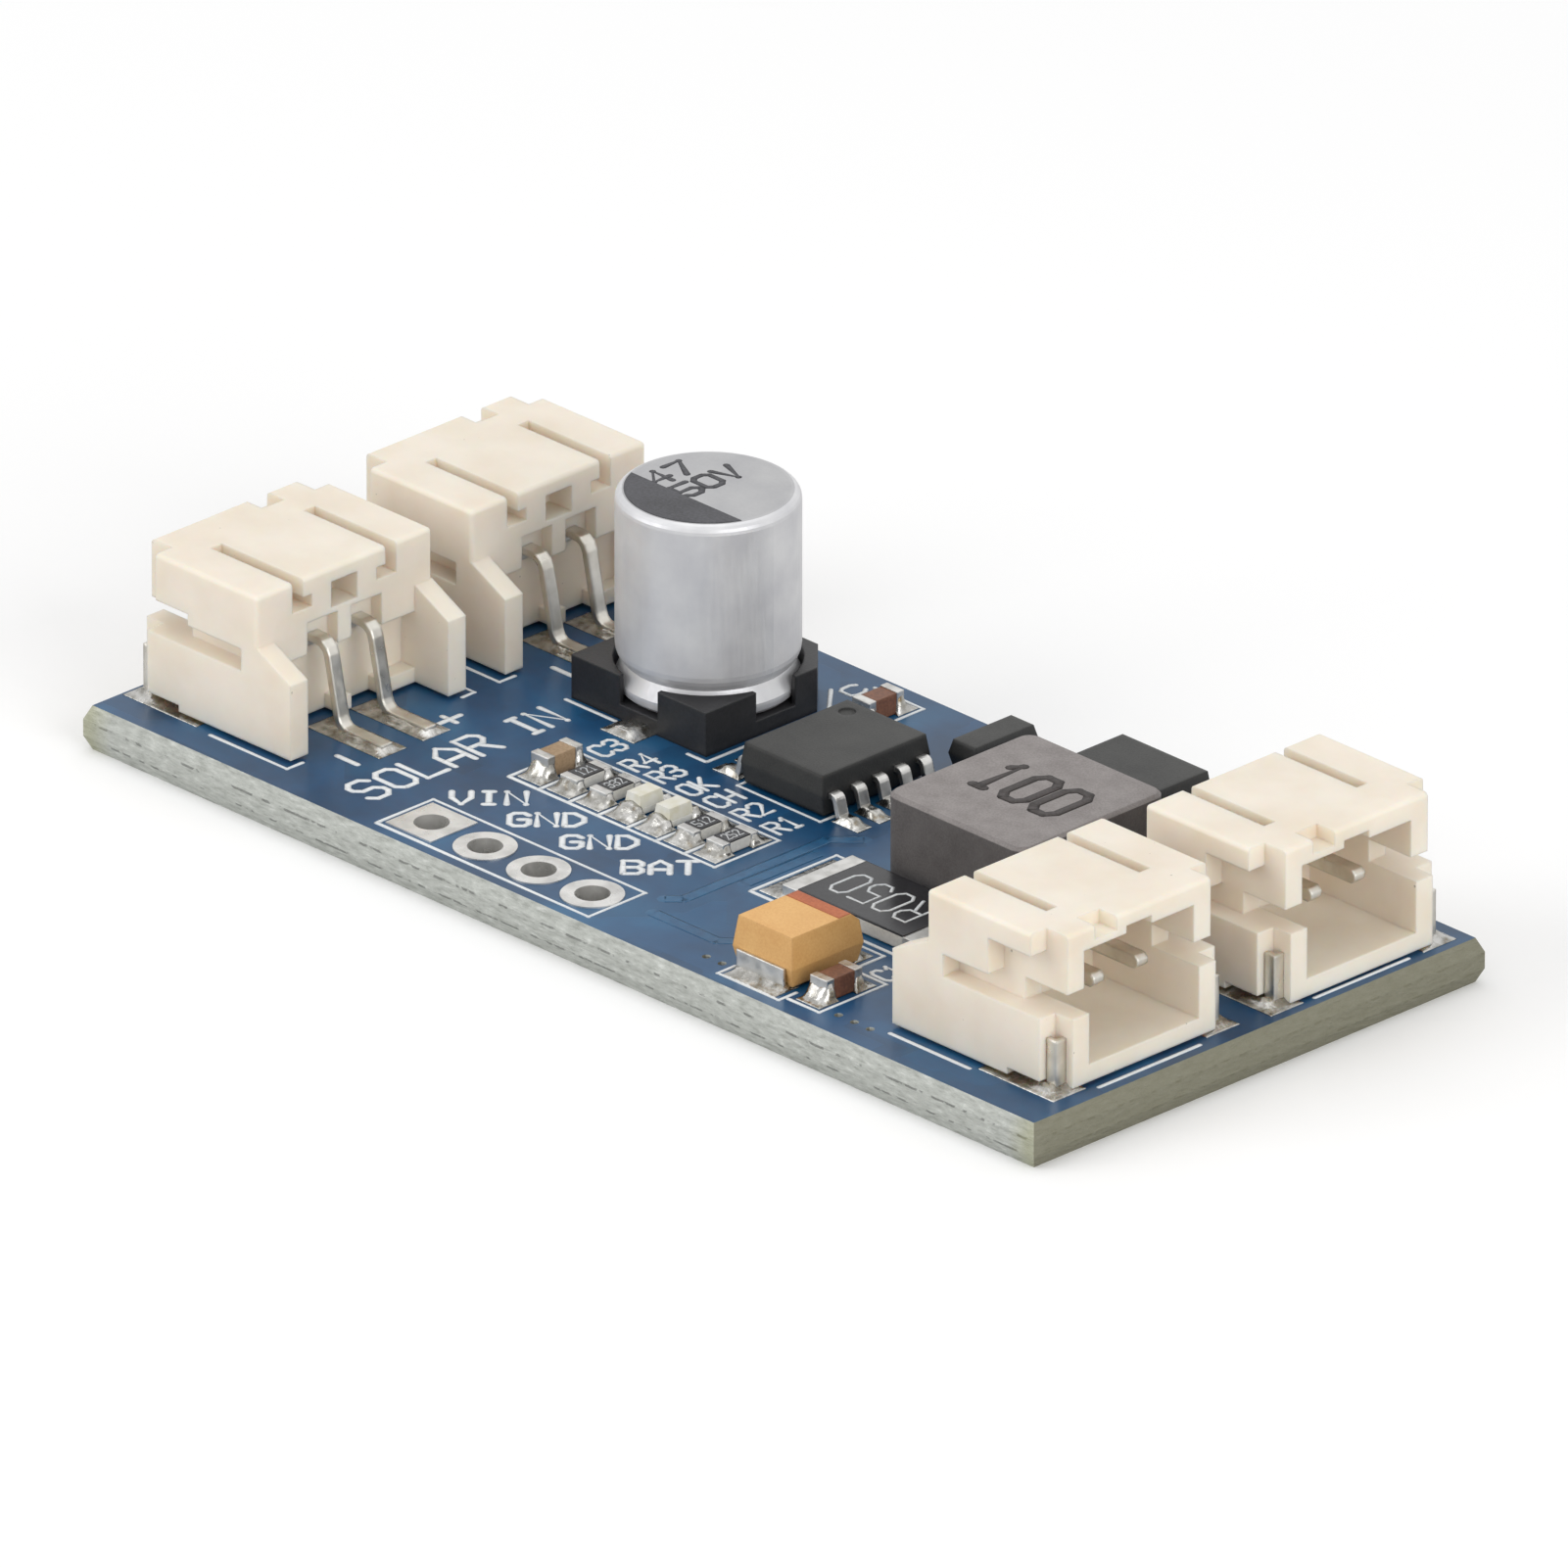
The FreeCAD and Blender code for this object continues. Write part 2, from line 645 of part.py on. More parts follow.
def inductor_terminals():
    """Two folded terminals, up each end and under the block."""
    end = inductor_length / 2
    width = inductor_terminal_width
    pieces = []
    for side_sign in (-1, 1):
        near, far = sorted((side_sign * (end - inductor_terminal_thickness), side_sign * end))
        upright = block(near, far, -width / 2, width / 2, 0, inductor_terminal_height)
        near, far = sorted((side_sign * (end - inductor_terminal_foot), side_sign * end))
        foot = block(near, far, -width / 2, width / 2, 0, inductor_terminal_thickness)
        pieces.append(upright.fuse(foot).removeSplitter())
    return Part.makeCompound(pieces)


def end_caps(length, width, height, cap_length, thickness):
    """Two plated ends that wrap a small block."""
    caps = []
    for side_sign in (-1, 1):
        near, far = sorted((side_sign * (length / 2 - cap_length), side_sign * length / 2))
        caps.append(block(near, far, -width / 2, width / 2, 0, height))
    core = centred_block(length - 2 * thickness, width - 2 * thickness, thickness, height - thickness)
    return Part.makeCompound([cap.cut(core) for cap in caps])


def chip_core(length, width, height, thickness):
    """Block inside a pair of plated ends."""
    return centred_block(length - 2 * thickness, width - 2 * thickness, thickness, height - thickness)


def coat(length, width, height, cap_length, thickness, plating):
    """Dark protective coat between the plated ends, on top of the core."""
    reach = length - 2 * cap_length
    return centred_block(reach, width - 2 * plating, height - plating, height - plating + thickness)


def strap_terminals(length, width, thickness, height, foot):
    """Two straps bent down a package's ends and in under it."""
    pieces = []
    for side_sign in (-1, 1):
        near, far = sorted((side_sign * (length / 2 - thickness), side_sign * length / 2))
        upright = block(near, far, -width / 2, width / 2, 0, height)
        near, far = sorted((side_sign * (length / 2 - foot), side_sign * length / 2))
        sole = block(near, far, -width / 2, width / 2, 0, thickness)
        pieces.append(upright.fuse(sole).removeSplitter())
    return Part.makeCompound(pieces)


def tantalum_body():
    """Moulded block that tapers from its parting line, cut back for the straps."""
    inner_length = tantalum_length - 2 * tantalum_terminal_thickness
    body = moulded_body(inner_length, tantalum_width, tantalum_terminal_thickness, tantalum_parting,
                        tantalum_height, tantalum_draft)
    end = inner_length / 2 - tantalum_draft
    marked = edges_where(body, lambda p: p.z > tantalum_height - 1e-6 and p.x > end - 1e-6)
    return body.makeChamfer(tantalum_bevel, marked)


def tantalum_terminals():
    """Straps down both ends of the tantalum capacitor."""
    return strap_terminals(tantalum_length, tantalum_terminal_width, tantalum_terminal_thickness,
                           tantalum_parting, tantalum_terminal_foot)


def diode_body():
    """Moulded diode package."""
    return moulded_body(diode_length, diode_width, diode_lead_thickness, diode_parting,
                        diode_height, diode_draft)


def diode_leads():
    """Straps that leave the diode's ends and fold down and under it."""
    half = diode_length / 2
    reach = diode_lead_span / 2
    level = diode_parting
    route = [(half, level), (reach - diode_lead_thickness / 2, level),
             (reach - diode_lead_thickness / 2, diode_lead_thickness / 2),
             (reach - diode_lead_foot, diode_lead_thickness / 2)]
    lead = formed_strip(route, diode_lead_thickness * 0.4, diode_lead_width, diode_lead_thickness)
    return Part.makeCompound([lead, turned(lead, 180)])


def transistor_body():
    """Moulded three-lead package, its long side across the board."""
    return moulded_body(transistor_width, transistor_length, transistor_standoff, transistor_parting,
                        transistor_height, transistor_draft)


def transistor_leads():
    """Two leads on one side and one on the other."""
    lead = gull_wing(transistor_width / 2, transistor_lead_span, transistor_parting, transistor_lead_width,
                     transistor_lead_thickness, transistor_lead_foot)
    offset = transistor_lead_pitch / 2
    return Part.makeCompound([moved(lead, 0, offset), moved(lead, 0, -offset), turned(lead, 180)])


def lamp_base():
    """Substrate of a lamp."""
    return chip_core(chip_part_length, chip_part_width, lamp_base_height, chip_cap_thickness)


def lamp_lens():
    """Clear block over the lamp's die."""
    low = lamp_base_height - chip_cap_thickness
    width = chip_part_width - 2 * chip_cap_thickness
    lens = stacked(lamp_lens_length, width, ((low, 0.0), (lamp_height, -lamp_lens_draft)))
    for cap in end_caps(chip_part_length, chip_part_width, lamp_base_height, chip_cap_length,
                        chip_cap_thickness).Solids:
        lens = lens.cut(cap)
    return lens


def build():
    """All pieces by node name."""
    nodes = {"circuit_board": circuit_board(), "header_hole_plating": header_hole_plating()}

    body, contacts, tabs = socket_body(), socket_contacts(), socket_tabs()
    sockets = (("solar_socket_near", left_near_mouth, left_near_centre, True),
               ("solar_socket_far", left_far_mouth, left_far_centre, True),
               ("output_socket_near", right_near_mouth, right_near_centre, False),
               ("output_socket_far", right_far_mouth, right_far_centre, False))
    for name, mouth, centre, faces_left in sockets:
        nodes[name + "_housing"] = place_socket(body, mouth, centre, faces_left)
        nodes[name + "_contacts"] = place_socket(contacts, mouth, centre, faces_left)
        nodes[name + "_tabs"] = place_socket(tabs, mouth, centre, faces_left)

    nodes["capacitor_can"] = on_board(capacitor_can(), can_x, can_y)
    nodes["capacitor_base"] = on_board(capacitor_base(), can_x, can_y)
    nodes["capacitor_leads"] = on_board(capacitor_leads(), can_x, can_y)
    nodes["charger_chip_body"] = on_board(chip_body(), chip_x, chip_y)
    nodes["charger_chip_leads"] = on_board(chip_leads(), chip_x, chip_y)
    nodes["inductor_body"] = on_board(inductor_body(), inductor_x, inductor_y)
    nodes["inductor_terminals"] = on_board(inductor_terminals(), inductor_x, inductor_y)

    nodes["sense_resistor_body"] = on_board(
        chip_core(shunt_length, shunt_width, shunt_height, shunt_cap_thickness), shunt_x, shunt_y)
    nodes["sense_resistor_coat"] = on_board(
        coat(shunt_length, shunt_width, shunt_height, shunt_cap_length, shunt_coat, shunt_cap_thickness),
        shunt_x, shunt_y)
    nodes["sense_resistor_caps"] = on_board(
        end_caps(shunt_length, shunt_width, shunt_height, shunt_cap_length, shunt_cap_thickness),
        shunt_x, shunt_y)

    nodes["tantalum_body"] = on_board(turned(tantalum_body(), 90), tantalum_x, tantalum_y)
    nodes["tantalum_terminals"] = on_board(turned(tantalum_terminals(), 90), tantalum_x, tantalum_y)
    nodes["diode_body"] = on_board(diode_body(), diode_x, diode_y)
    nodes["diode_leads"] = on_board(diode_leads(), diode_x, diode_y)
    nodes["transistor_body"] = on_board(transistor_body(), transistor_x, transistor_y)
    nodes["transistor_leads"] = on_board(transistor_leads(), transistor_x, transistor_y)

    core = turned(chip_core(chip_part_length, chip_part_width, ceramic_height, chip_cap_thickness), 90)
    caps = turned(end_caps(chip_part_length, chip_part_width, ceramic_height, chip_cap_length,
                           chip_cap_thickness), 90)
    ceramics = (("ceramic_capacitor_1", ceramic_1_x, ceramic_1_y),
                ("ceramic_capacitor_2", ceramic_2_x, ceramic_2_y),
                ("ceramic_capacitor_3", row_start, row_y))
    for name, x, y in ceramics:
        nodes[name + "_body"] = on_board(core, x, y)
        nodes[name + "_caps"] = on_board(caps, x, y)

    core = turned(chip_core(chip_part_length, chip_part_width, resistor_height, chip_cap_thickness), 90)
    caps = turned(end_caps(chip_part_length, chip_part_width, resistor_height, chip_cap_length,
                           chip_cap_thickness), 90)
    film = turned(coat(chip_part_length, chip_part_width, resistor_height, chip_cap_length,
                       resistor_coat, chip_cap_thickness), 90)
    for name, place in (("resistor_4", 1), ("resistor_3", 2), ("resistor_2", 5), ("resistor_1", 6)):
        x = row_start + place * row_pitch
        nodes[name + "_body"] = on_board(core, x, row_y)
        nodes[name + "_coat"] = on_board(film, x, row_y)
        nodes[name + "_caps"] = on_board(caps, x, row_y)

    base, lens = turned(lamp_base(), 90), turned(lamp_lens(), 90)
    caps = turned(end_caps(chip_part_length, chip_part_width, lamp_base_height, chip_cap_length,
                           chip_cap_thickness), 90)
    for name, place in (("full_lamp", 3), ("charging_lamp", 4)):
        x = row_start + place * row_pitch
        nodes[name + "_base"] = on_board(base, x, row_y)
        nodes[name + "_lens"] = on_board(lens, x, row_y)
        nodes[name + "_caps"] = on_board(caps, x, row_y)
    return nodes


os.makedirs("parts", exist_ok=True)
for node, shape in build().items():
    shape.exportStep("parts/" + node + ".step")
    print(node, len(shape.Solids), round(shape.Volume, 3), shape.isValid())
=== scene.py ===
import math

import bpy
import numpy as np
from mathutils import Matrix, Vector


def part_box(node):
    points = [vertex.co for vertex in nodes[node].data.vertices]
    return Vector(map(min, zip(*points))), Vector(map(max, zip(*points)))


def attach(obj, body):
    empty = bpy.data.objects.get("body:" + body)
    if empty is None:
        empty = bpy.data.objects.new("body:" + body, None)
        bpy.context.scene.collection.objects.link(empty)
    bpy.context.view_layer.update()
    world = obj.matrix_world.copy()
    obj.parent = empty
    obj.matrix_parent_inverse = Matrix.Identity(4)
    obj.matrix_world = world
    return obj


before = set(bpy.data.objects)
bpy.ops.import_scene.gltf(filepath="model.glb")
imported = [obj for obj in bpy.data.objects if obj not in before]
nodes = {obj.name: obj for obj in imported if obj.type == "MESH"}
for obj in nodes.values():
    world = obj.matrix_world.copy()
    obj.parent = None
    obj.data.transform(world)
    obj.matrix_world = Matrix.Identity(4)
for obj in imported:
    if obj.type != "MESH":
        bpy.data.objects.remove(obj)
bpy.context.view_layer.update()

# %% [markdown]
# # A solar charge controller, dressed for the camera
# The CAD model already holds every solid piece of this small circuit board. What is left for
# Blender is what gives a real board its look: the blue mask with its white print, the bright
# solder, the snapped glass edge, the ivory sockets and the marks on the parts.
# The first cell prints how many nodes the bare CAD model has.

MM = 0.001


print("CAD nodes:", len(nodes))

# %% [markdown]
# ## Where things are
# The print and the solder have to land on the right spots, so a few places are read from the
# CAD nodes themselves. Positions along the board are given from its left end and positions
# across it from its near edge, the way a layout drawing gives them, and one function turns
# them into Blender's metres.

# %% Places
BOARD_LENGTH = 44.5
BOARD_WIDTH = 20.2
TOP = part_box("circuit_board")[1].z / MM
print("board top at", round(TOP, 3), "mm")


def spot(x, y, z=0.0):
    """A point given in millimetres from the left end, the near edge and the board's top."""
    return Vector((x - BOARD_LENGTH / 2, y - BOARD_WIDTH / 2, TOP + z)) * MM


def node_rectangle(name):
    """A node's outline seen from above, as (x0, x1, y0, y1) in layout millimetres."""
    low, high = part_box(name)
    left, near = BOARD_LENGTH / 2, BOARD_WIDTH / 2
    return low.x / MM + left, high.x / MM + left, low.y / MM + near, high.y / MM + near


# %% [markdown]
# ## Small helpers for materials
# Colours are written as sRGB hex values, as a colour picker gives them. Blender's shaders work
# with linear light, so one function does the conversion. Another adds a node with its settings
# and its links in a single line, which keeps each recipe short enough to read. Textures repeat
# per metre, so a third turns the size of a pattern in millimetres into that scale.

# %% Material helpers


def linear(code, alpha=1.0):
    """Linear colour of an sRGB hex value."""
    values = [int(code[i:i + 2], 16) / 255 for i in (1, 3, 5)]
    return [v / 12.92 if v <= 0.04045 else ((v + 0.055) / 1.055) ** 2.4 for v in values] + [alpha]


def wire(tree, node, links):
    """Give inputs a value, a socket to follow, or a node whose first output they follow."""
    for name, source in links.items():
        if isinstance(source, bpy.types.Node):
            source = source.outputs[0]
        if isinstance(source, bpy.types.NodeSocket):
            tree.links.new(source, node.inputs[name])
        else:
            node.inputs[name].default_value = source


def add(tree, kind, links=None, stops=(), **settings):
    """Add one node. Settings are its properties; stops are a ramp's (position, sRGB hex)."""
    made = tree.nodes.new(kind)
    for name, value in settings.items():
        setattr(made, name, value)
    wire(tree, made, links or {})
    while stops and len(made.color_ramp.elements) < len(stops):
        made.color_ramp.elements.new(0.5)
    for index, (position, code) in enumerate(stops):
        made.color_ramp.elements[index].position = position
        made.color_ramp.elements[index].color = linear(code)
    return made


def grains(size_mm):
    """Texture scale for a pattern of about this size in millimetres."""
    return 1 / (size_mm * MM)


def start_material(name, base, values):
    """A new material: itself, its tree, its surface shader and the point on the piece."""
    material = bpy.data.materials.new(name)
    material.use_nodes = True
    tree = material.node_tree
    shader = tree.nodes["Principled BSDF"]
    wire(tree, shader, {"Base Color": linear(base), **values})
    return material, tree, shader, add(tree, "ShaderNodeTexCoord").outputs["Object"]


print("pattern of 0.1 mm has the scale", round(grains(0.1)))

# %% [markdown]
# ## Ivory nylon
# The sockets are injection moulded in glass-filled nylon. It is a warm ivory, slightly
# translucent at thin walls, with a fine spark-eroded grain left by the mould and a few dark
# specks. A little subsurface light and a bump of noise give that. The real grain is finer than
# a pixel, so it is drawn at 0.08 mm to show at all. The Bevel node rounds the highlights on
# edges that the CAD keeps sharp.

# %% Nylon


def nylon():
    material, tree, shader, where = start_material("ivory_nylon_moulded", "#EBE1D2", {
        "Roughness": 0.5, "IOR": 1.53, "Subsurface Weight": 0.45,
        "Subsurface Radius": (1.0, 0.62, 0.36), "Subsurface Scale": 0.9 * MM})
    cloud = add(tree, "ShaderNodeTexNoise", {"Vector": where, "Scale": grains(2.5), "Detail": 4.0})
    colour = add(tree, "ShaderNodeValToRGB", {"Fac": cloud},
                 ((0.3, "#E8DCCA"), (0.55, "#EEE4D5"), (0.75, "#F2E9DB")))
    darkening = add(tree, "ShaderNodeTexNoise", {"Vector": where, "Scale": grains(0.22), "Detail": 1.0})
    speck = add(tree, "ShaderNodeMapRange", {"Value": darkening, "From Min": 0.8, "From Max": 0.84,
                                             "To Min": 1.0, "To Max": 0.55})
    toned = add(tree, "ShaderNodeVectorMath", {0: colour, "Scale": speck}, operation="SCALE")
    grain = add(tree, "ShaderNodeTexNoise", {"Vector": where, "Scale": grains(0.08), "Detail": 2.0})
    soft_edge = add(tree, "ShaderNodeBevel", {"Radius": 0.1 * MM}, samples=6)
    relief = add(tree, "ShaderNodeBump", {"Height": grain, "Normal": soft_edge, "Strength": 0.6,
                                          "Distance": 0.006 * MM})
    wire(tree, shader, {"Base Color": toned, "Normal": relief})
    return material


ivory_nylon = nylon()
print("made", ivory_nylon.name)

# %% [markdown]
# ## Tinned metal
# Contacts and leads are stamped from brass or copper strip and plated with tin, which turns
# slightly cloudy; the Bevel node rounds their edges as the stamping did. Solder is brighter and
# lumpier, because it froze from liquid, and keeps a brownish film of flux in its hollows. All are
# metals, so their colour tints the reflection, but the levelled solder of the holes is dull
# enough to scatter some light down the bores.

# %% Tin and solder


def plated(name, tones, roughness, grain_mm, depth_mm, metallic=1.0, edge_mm=0.0):
    material, tree, shader, where = start_material(name, tones[-1][1], {"Metallic": metallic})
    cloud = add(tree, "ShaderNodeTexNoise", {"Vector": where, "Scale": grains(grain_mm),
                                             "Detail": 4.0})
    colour = add(tree, "ShaderNodeValToRGB", {"Fac": cloud}, tones)
    patch = add(tree, "ShaderNodeTexNoise", {"Vector": where, "Scale": grains(grain_mm * 0.6),
                                             "Detail": 3.0})
    gloss = add(tree, "ShaderNodeMapRange", {
        "Value": patch, "From Min": 0.3, "From Max": 0.7,
        "To Min": roughness - 0.08, "To Max": roughness + 0.12})
    lumps = add(tree, "ShaderNodeTexNoise", {"Vector": where, "Scale": grains(grain_mm * 0.5),
                                             "Detail": 3.0})
    soft_edge = add(tree, "ShaderNodeBevel", {"Radius": edge_mm * MM}, samples=6)
    relief = add(tree, "ShaderNodeBump", {"Height": lumps, "Normal": soft_edge,
                                          "Distance": depth_mm * MM})
    wire(tree, shader, {"Base Color": colour, "Roughness": gloss, "Normal": relief})
    print("made", name)
    return material


bright_tin = plated("bright_tin_on_brass", ((0.3, "#CCC8BE"), (0.62, "#E3E0D8")),
                    0.34, 0.9, 0.004, edge_mm=0.14)
matt_tin = plated("matt_tin_on_copper", ((0.3, "#BEBDB9"), (0.62, "#DDDCD9")),
                  0.34, 0.5, 0.006, edge_mm=0.07)
frozen_solder = plated("reflowed_solder", ((0.26, "#786A54"), (0.38, "#97958F"),
                                           (0.64, "#C6C5C2")), 0.2, 0.4, 0.022)
land_solder = plated("levelled_solder", ((0.32, "#C6C5C2"), (0.6, "#E2E1DE")),
                     0.3, 0.9, 0.004, metallic=0.75)

# %% [markdown]
# ## Aluminium can
# The capacitor's can is deep drawn from aluminium and has a satin clear coat, so part of the
# light is scattered and part mirrored. Stretching the noise along Z draws the marks of the pull.
# Its flat top, which the true normal picks out, is painted darker: painted shade that tones down
# the brightly lit top.

# %% Aluminium


def drawn_aluminium():
    material, tree, shader, where = start_material("drawn_aluminium", "#D2D3D5", {"Metallic": 0.35})
    stretched = add(tree, "ShaderNodeMapping", {"Vector": where, "Scale": (1.0, 1.0, 0.08)})
    marks = add(tree, "ShaderNodeTexNoise", {"Vector": stretched, "Scale": grains(0.12),
                                             "Detail": 3.0})
    cloud = add(tree, "ShaderNodeTexNoise", {"Vector": where, "Scale": grains(1.4), "Detail": 3.0})
    colour = add(tree, "ShaderNodeValToRGB", {"Fac": cloud}, ((0.3, "#CECED1"), (0.7, "#DEDEDF")))
    # Painted shade: faces that point up are darkened to two thirds.
    normal = add(tree, "ShaderNodeNewGeometry").outputs["True Normal"]
    upward = add(tree, "ShaderNodeSeparateXYZ", {"Vector": normal}).outputs["Z"]
    shade = add(tree, "ShaderNodeMapRange", {"Value": upward, "From Min": 0.9, "From Max": 1.0,
                                             "To Min": 1.0, "To Max": 0.66})
    toned = add(tree, "ShaderNodeVectorMath", {0: colour, "Scale": shade}, operation="SCALE")
    gloss = add(tree, "ShaderNodeMapRange", {"Value": marks, "From Min": 0.3, "From Max": 0.7,
                                             "To Min": 0.3, "To Max": 0.46})
    grit = add(tree, "ShaderNodeTexNoise", {"Vector": where, "Scale": grains(0.1), "Detail": 3.0})
    relief = add(tree, "ShaderNodeBump", {"Height": grit, "Strength": 0.7, "Distance": 0.004 * MM})
    wire(tree, shader, {"Base Color": toned, "Roughness": gloss, "Normal": relief})
    return material


satin_can = drawn_aluminium()
print("made", satin_can.name)

# %% [markdown]
# ## Mouldings, ceramic and coats
# Chip packages are pressed from filled epoxy, dark and dry with a gritty skin. The inductor is
# pressed iron powder with a grey coat. Ceramic parts are matt, and the coat on a
# resistor is a glassy film. They differ in colours, grain and gloss, so one recipe with those
# values serves all. The side value paints shade: it makes upright faces darker than the top, as
# less light falls on them. The edge value is the radius to which the Bevel node rounds the
# highlights. Their grain, too, is drawn a few times coarser than the real grit, which would be too
# fine to show.

# %% Pressed and moulded finishes


def pressed(name, dark, light, roughness, grain_mm, depth_mm,
            patch_mm=1.2, side=1.0, edge_mm=0.09):
    material, tree, shader, where = start_material(name, light, {"Roughness": roughness,
                                                                 "IOR": 1.52})
    fine = add(tree, "ShaderNodeTexNoise", {"Vector": where, "Scale": grains(grain_mm),
                                            "Detail": 2.0})
    patch = add(tree, "ShaderNodeTexNoise", {"Vector": where, "Scale": grains(patch_mm),
                                             "Detail": 4.0})
    mean = add(tree, "ShaderNodeMix", {"Factor": 0.5, "A": patch.outputs[0],
                                       "B": fine.outputs[0]}, data_type="FLOAT")
    colour = add(tree, "ShaderNodeValToRGB", {"Fac": mean}, ((0.36, dark), (0.62, light)))
    # Painted shade: upright faces are darkened to the side value, as less light falls on them; a
    # side of 1 leaves them as they are.
    normal = add(tree, "ShaderNodeNewGeometry").outputs["True Normal"]
    upward = add(tree, "ShaderNodeSeparateXYZ", {"Vector": normal}).outputs["Z"]
    shade = add(tree, "ShaderNodeMapRange", {"Value": upward, "From Min": 0.3, "From Max": 0.8,
                                             "To Min": side, "To Max": 1.0})
    toned = add(tree, "ShaderNodeVectorMath", {0: colour, "Scale": shade}, operation="SCALE")
    soft_edge = add(tree, "ShaderNodeBevel", {"Radius": edge_mm * MM}, samples=6)
    relief = add(tree, "ShaderNodeBump", {"Height": fine, "Normal": soft_edge,
                                          "Distance": depth_mm * MM})
    wire(tree, shader, {"Base Color": toned, "Normal": relief})
    print("made", name)
    return material


# Side values below 1 paint shade on the upright faces of the black epoxy parts, the can's base, the
# inductor and the amber capacitor.
black_epoxy = pressed("black_epoxy_moulding", "#2A2A29", "#393937", 0.55, 0.07, 0.008,
                      side=0.55, edge_mm=0.22)
black_base = pressed("black_polyamide_base", "#1B1B1D", "#29292C", 0.45, 0.1, 0.006, side=0.75)
iron_powder = pressed("pressed_iron_powder", "#7B7573", "#918B89", 0.6, 0.07, 0.01,
                      patch_mm=0.8, side=0.42)
white_ceramic = pressed("white_alumina", "#CFCCC4", "#E0DDD5", 0.6, 0.1, 0.005)
brown_ceramic = pressed("brown_ceramic", "#65402F", "#86583F", 0.5, 0.1, 0.005)
tan_ceramic = pressed("tan_ceramic", "#8E7456", "#AC9172", 0.5, 0.1, 0.005)
glassy_black = pressed("glassy_black_coat", "#17171A", "#26262A", 0.25, 0.2, 0.004)
amber_epoxy = pressed("amber_epoxy_moulding", "#DCA663", "#E7B773", 0.5, 0.08, 0.006,
                      side=0.9)
lamp_white = pressed("white_lamp_substrate", "#E2DFD4", "#F3F1E9", 0.5, 0.1, 0.004)

# %% [markdown]
# ## Lamp lens
# Each lamp is capped with a block of clear, slightly yellow resin.

# %% Lens resin
lens_resin, lens_tree, lens_shader, lens_place = start_material(
    "clear_yellow_resin", "#F7F4E4", {"Roughness": 0.2, "IOR": 1.5, "Transmission Weight": 0.2})
lens_cloud = add(lens_tree, "ShaderNodeTexNoise", {"Vector": lens_place, "Scale": grains(0.4)})
lens_tone = add(lens_tree, "ShaderNodeValToRGB", {"Fac": lens_cloud},
                ((0.3, "#F0EBD2"), (0.7, "#FCFAF0")))
wire(lens_tree, lens_shader, {"Base Color": lens_tone})
print("made", lens_resin.name)

# %% [markdown]
# ## The mask of the board
# The board is glass cloth in epoxy, and its faces carry a glossy blue mask. It is a little
# lighter where copper lies under it. A Voronoi texture with square distances stands for those
# areas of copper, and a slow noise clouds the blue.

# %% Mask
COPPER_SIZE = 3.2


def mask_colour(tree, where):
    """Colour of the mask, and the copper areas that make it lighter and a hair higher."""
    cloud = add(tree, "ShaderNodeTexNoise", {"Vector": where, "Scale": grains(3.0),
                                             "Detail": 4.0})
    blue = add(tree, "ShaderNodeValToRGB", {"Fac": cloud},
               ((0.3, "#09395C"), (0.5, "#0F476F"), (0.72, "#185880")))
    copper = add(tree, "ShaderNodeTexVoronoi", {"Vector": where, "Scale": grains(COPPER_SIZE),
                                                "Randomness": 0.8}, distance="CHEBYCHEV")
    filled = add(tree, "ShaderNodeMapRange", {"Value": copper.outputs["Color"],
                                              "From Min": 0.4, "From Max": 0.5,
                                              "To Min": 0.88, "To Max": 1.06})
    return add(tree, "ShaderNodeVectorMath", {0: blue, "Scale": filled},
               operation="SCALE"), filled


print("areas of copper:", COPPER_SIZE, "mm")

# %% [markdown]
# ## The snapped edges of the board
# The edges were scored and snapped, so they show pale, torn glass fibres: noise squeezed across
# the edge and stretched along it. Two rows of dark nicks run where the web broke. The right end
# is darker and browner, and bare yellowish resin shows at the corners.

# %% Snapped edges
NICK_LEVELS = (0.54, 1.13)


def torn_glass(tree, where):
    """Fibres as noise, and their colour with the two rows of nicks."""
    squeezed = add(tree, "ShaderNodeMapping", {"Vector": where, "Scale": (0.28, 0.28, 1.0)})
    fibre = add(tree, "ShaderNodeTexNoise", {"Vector": squeezed, "Scale": grains(0.16),
                                             "Detail": 5.0, "Roughness": 0.65})
    glass = add(tree, "ShaderNodeValToRGB", {"Fac": fibre},
                ((0.3, "#A2A59E"), (0.43, "#B7BAB4"), (0.58, "#C6C9C3"), (0.74, "#E2E4DF")))
    tear = add(tree, "ShaderNodeTexNoise", {"Vector": where, "Scale": grains(0.5), "Detail": 4.0})
    nick = add(tree, "ShaderNodeMapRange", {"Value": tear, "From Min": 0.5, "From Max": 0.56,
                                            "To Min": 0.0, "To Max": -0.5})
    height = add(tree, "ShaderNodeSeparateXYZ", {"Vector": where}).outputs["Z"]
    ragged = add(tree, "ShaderNodeMath", {0: tear, 1: 0.12 * MM, 2: height},
                 operation="MULTIPLY_ADD")
    shade = 1.0
    for level in NICK_LEVELS:
        line = add(tree, "ShaderNodeMath", {0: ragged, 1: level * MM, 2: 0.045 * MM},
                   operation="COMPARE")
        shade = add(tree, "ShaderNodeMath", {0: line, 1: nick, 2: shade},
                    operation="MULTIPLY_ADD")
    return fibre, add(tree, "ShaderNodeVectorMath", {0: glass, "Scale": shade}, operation="SCALE")


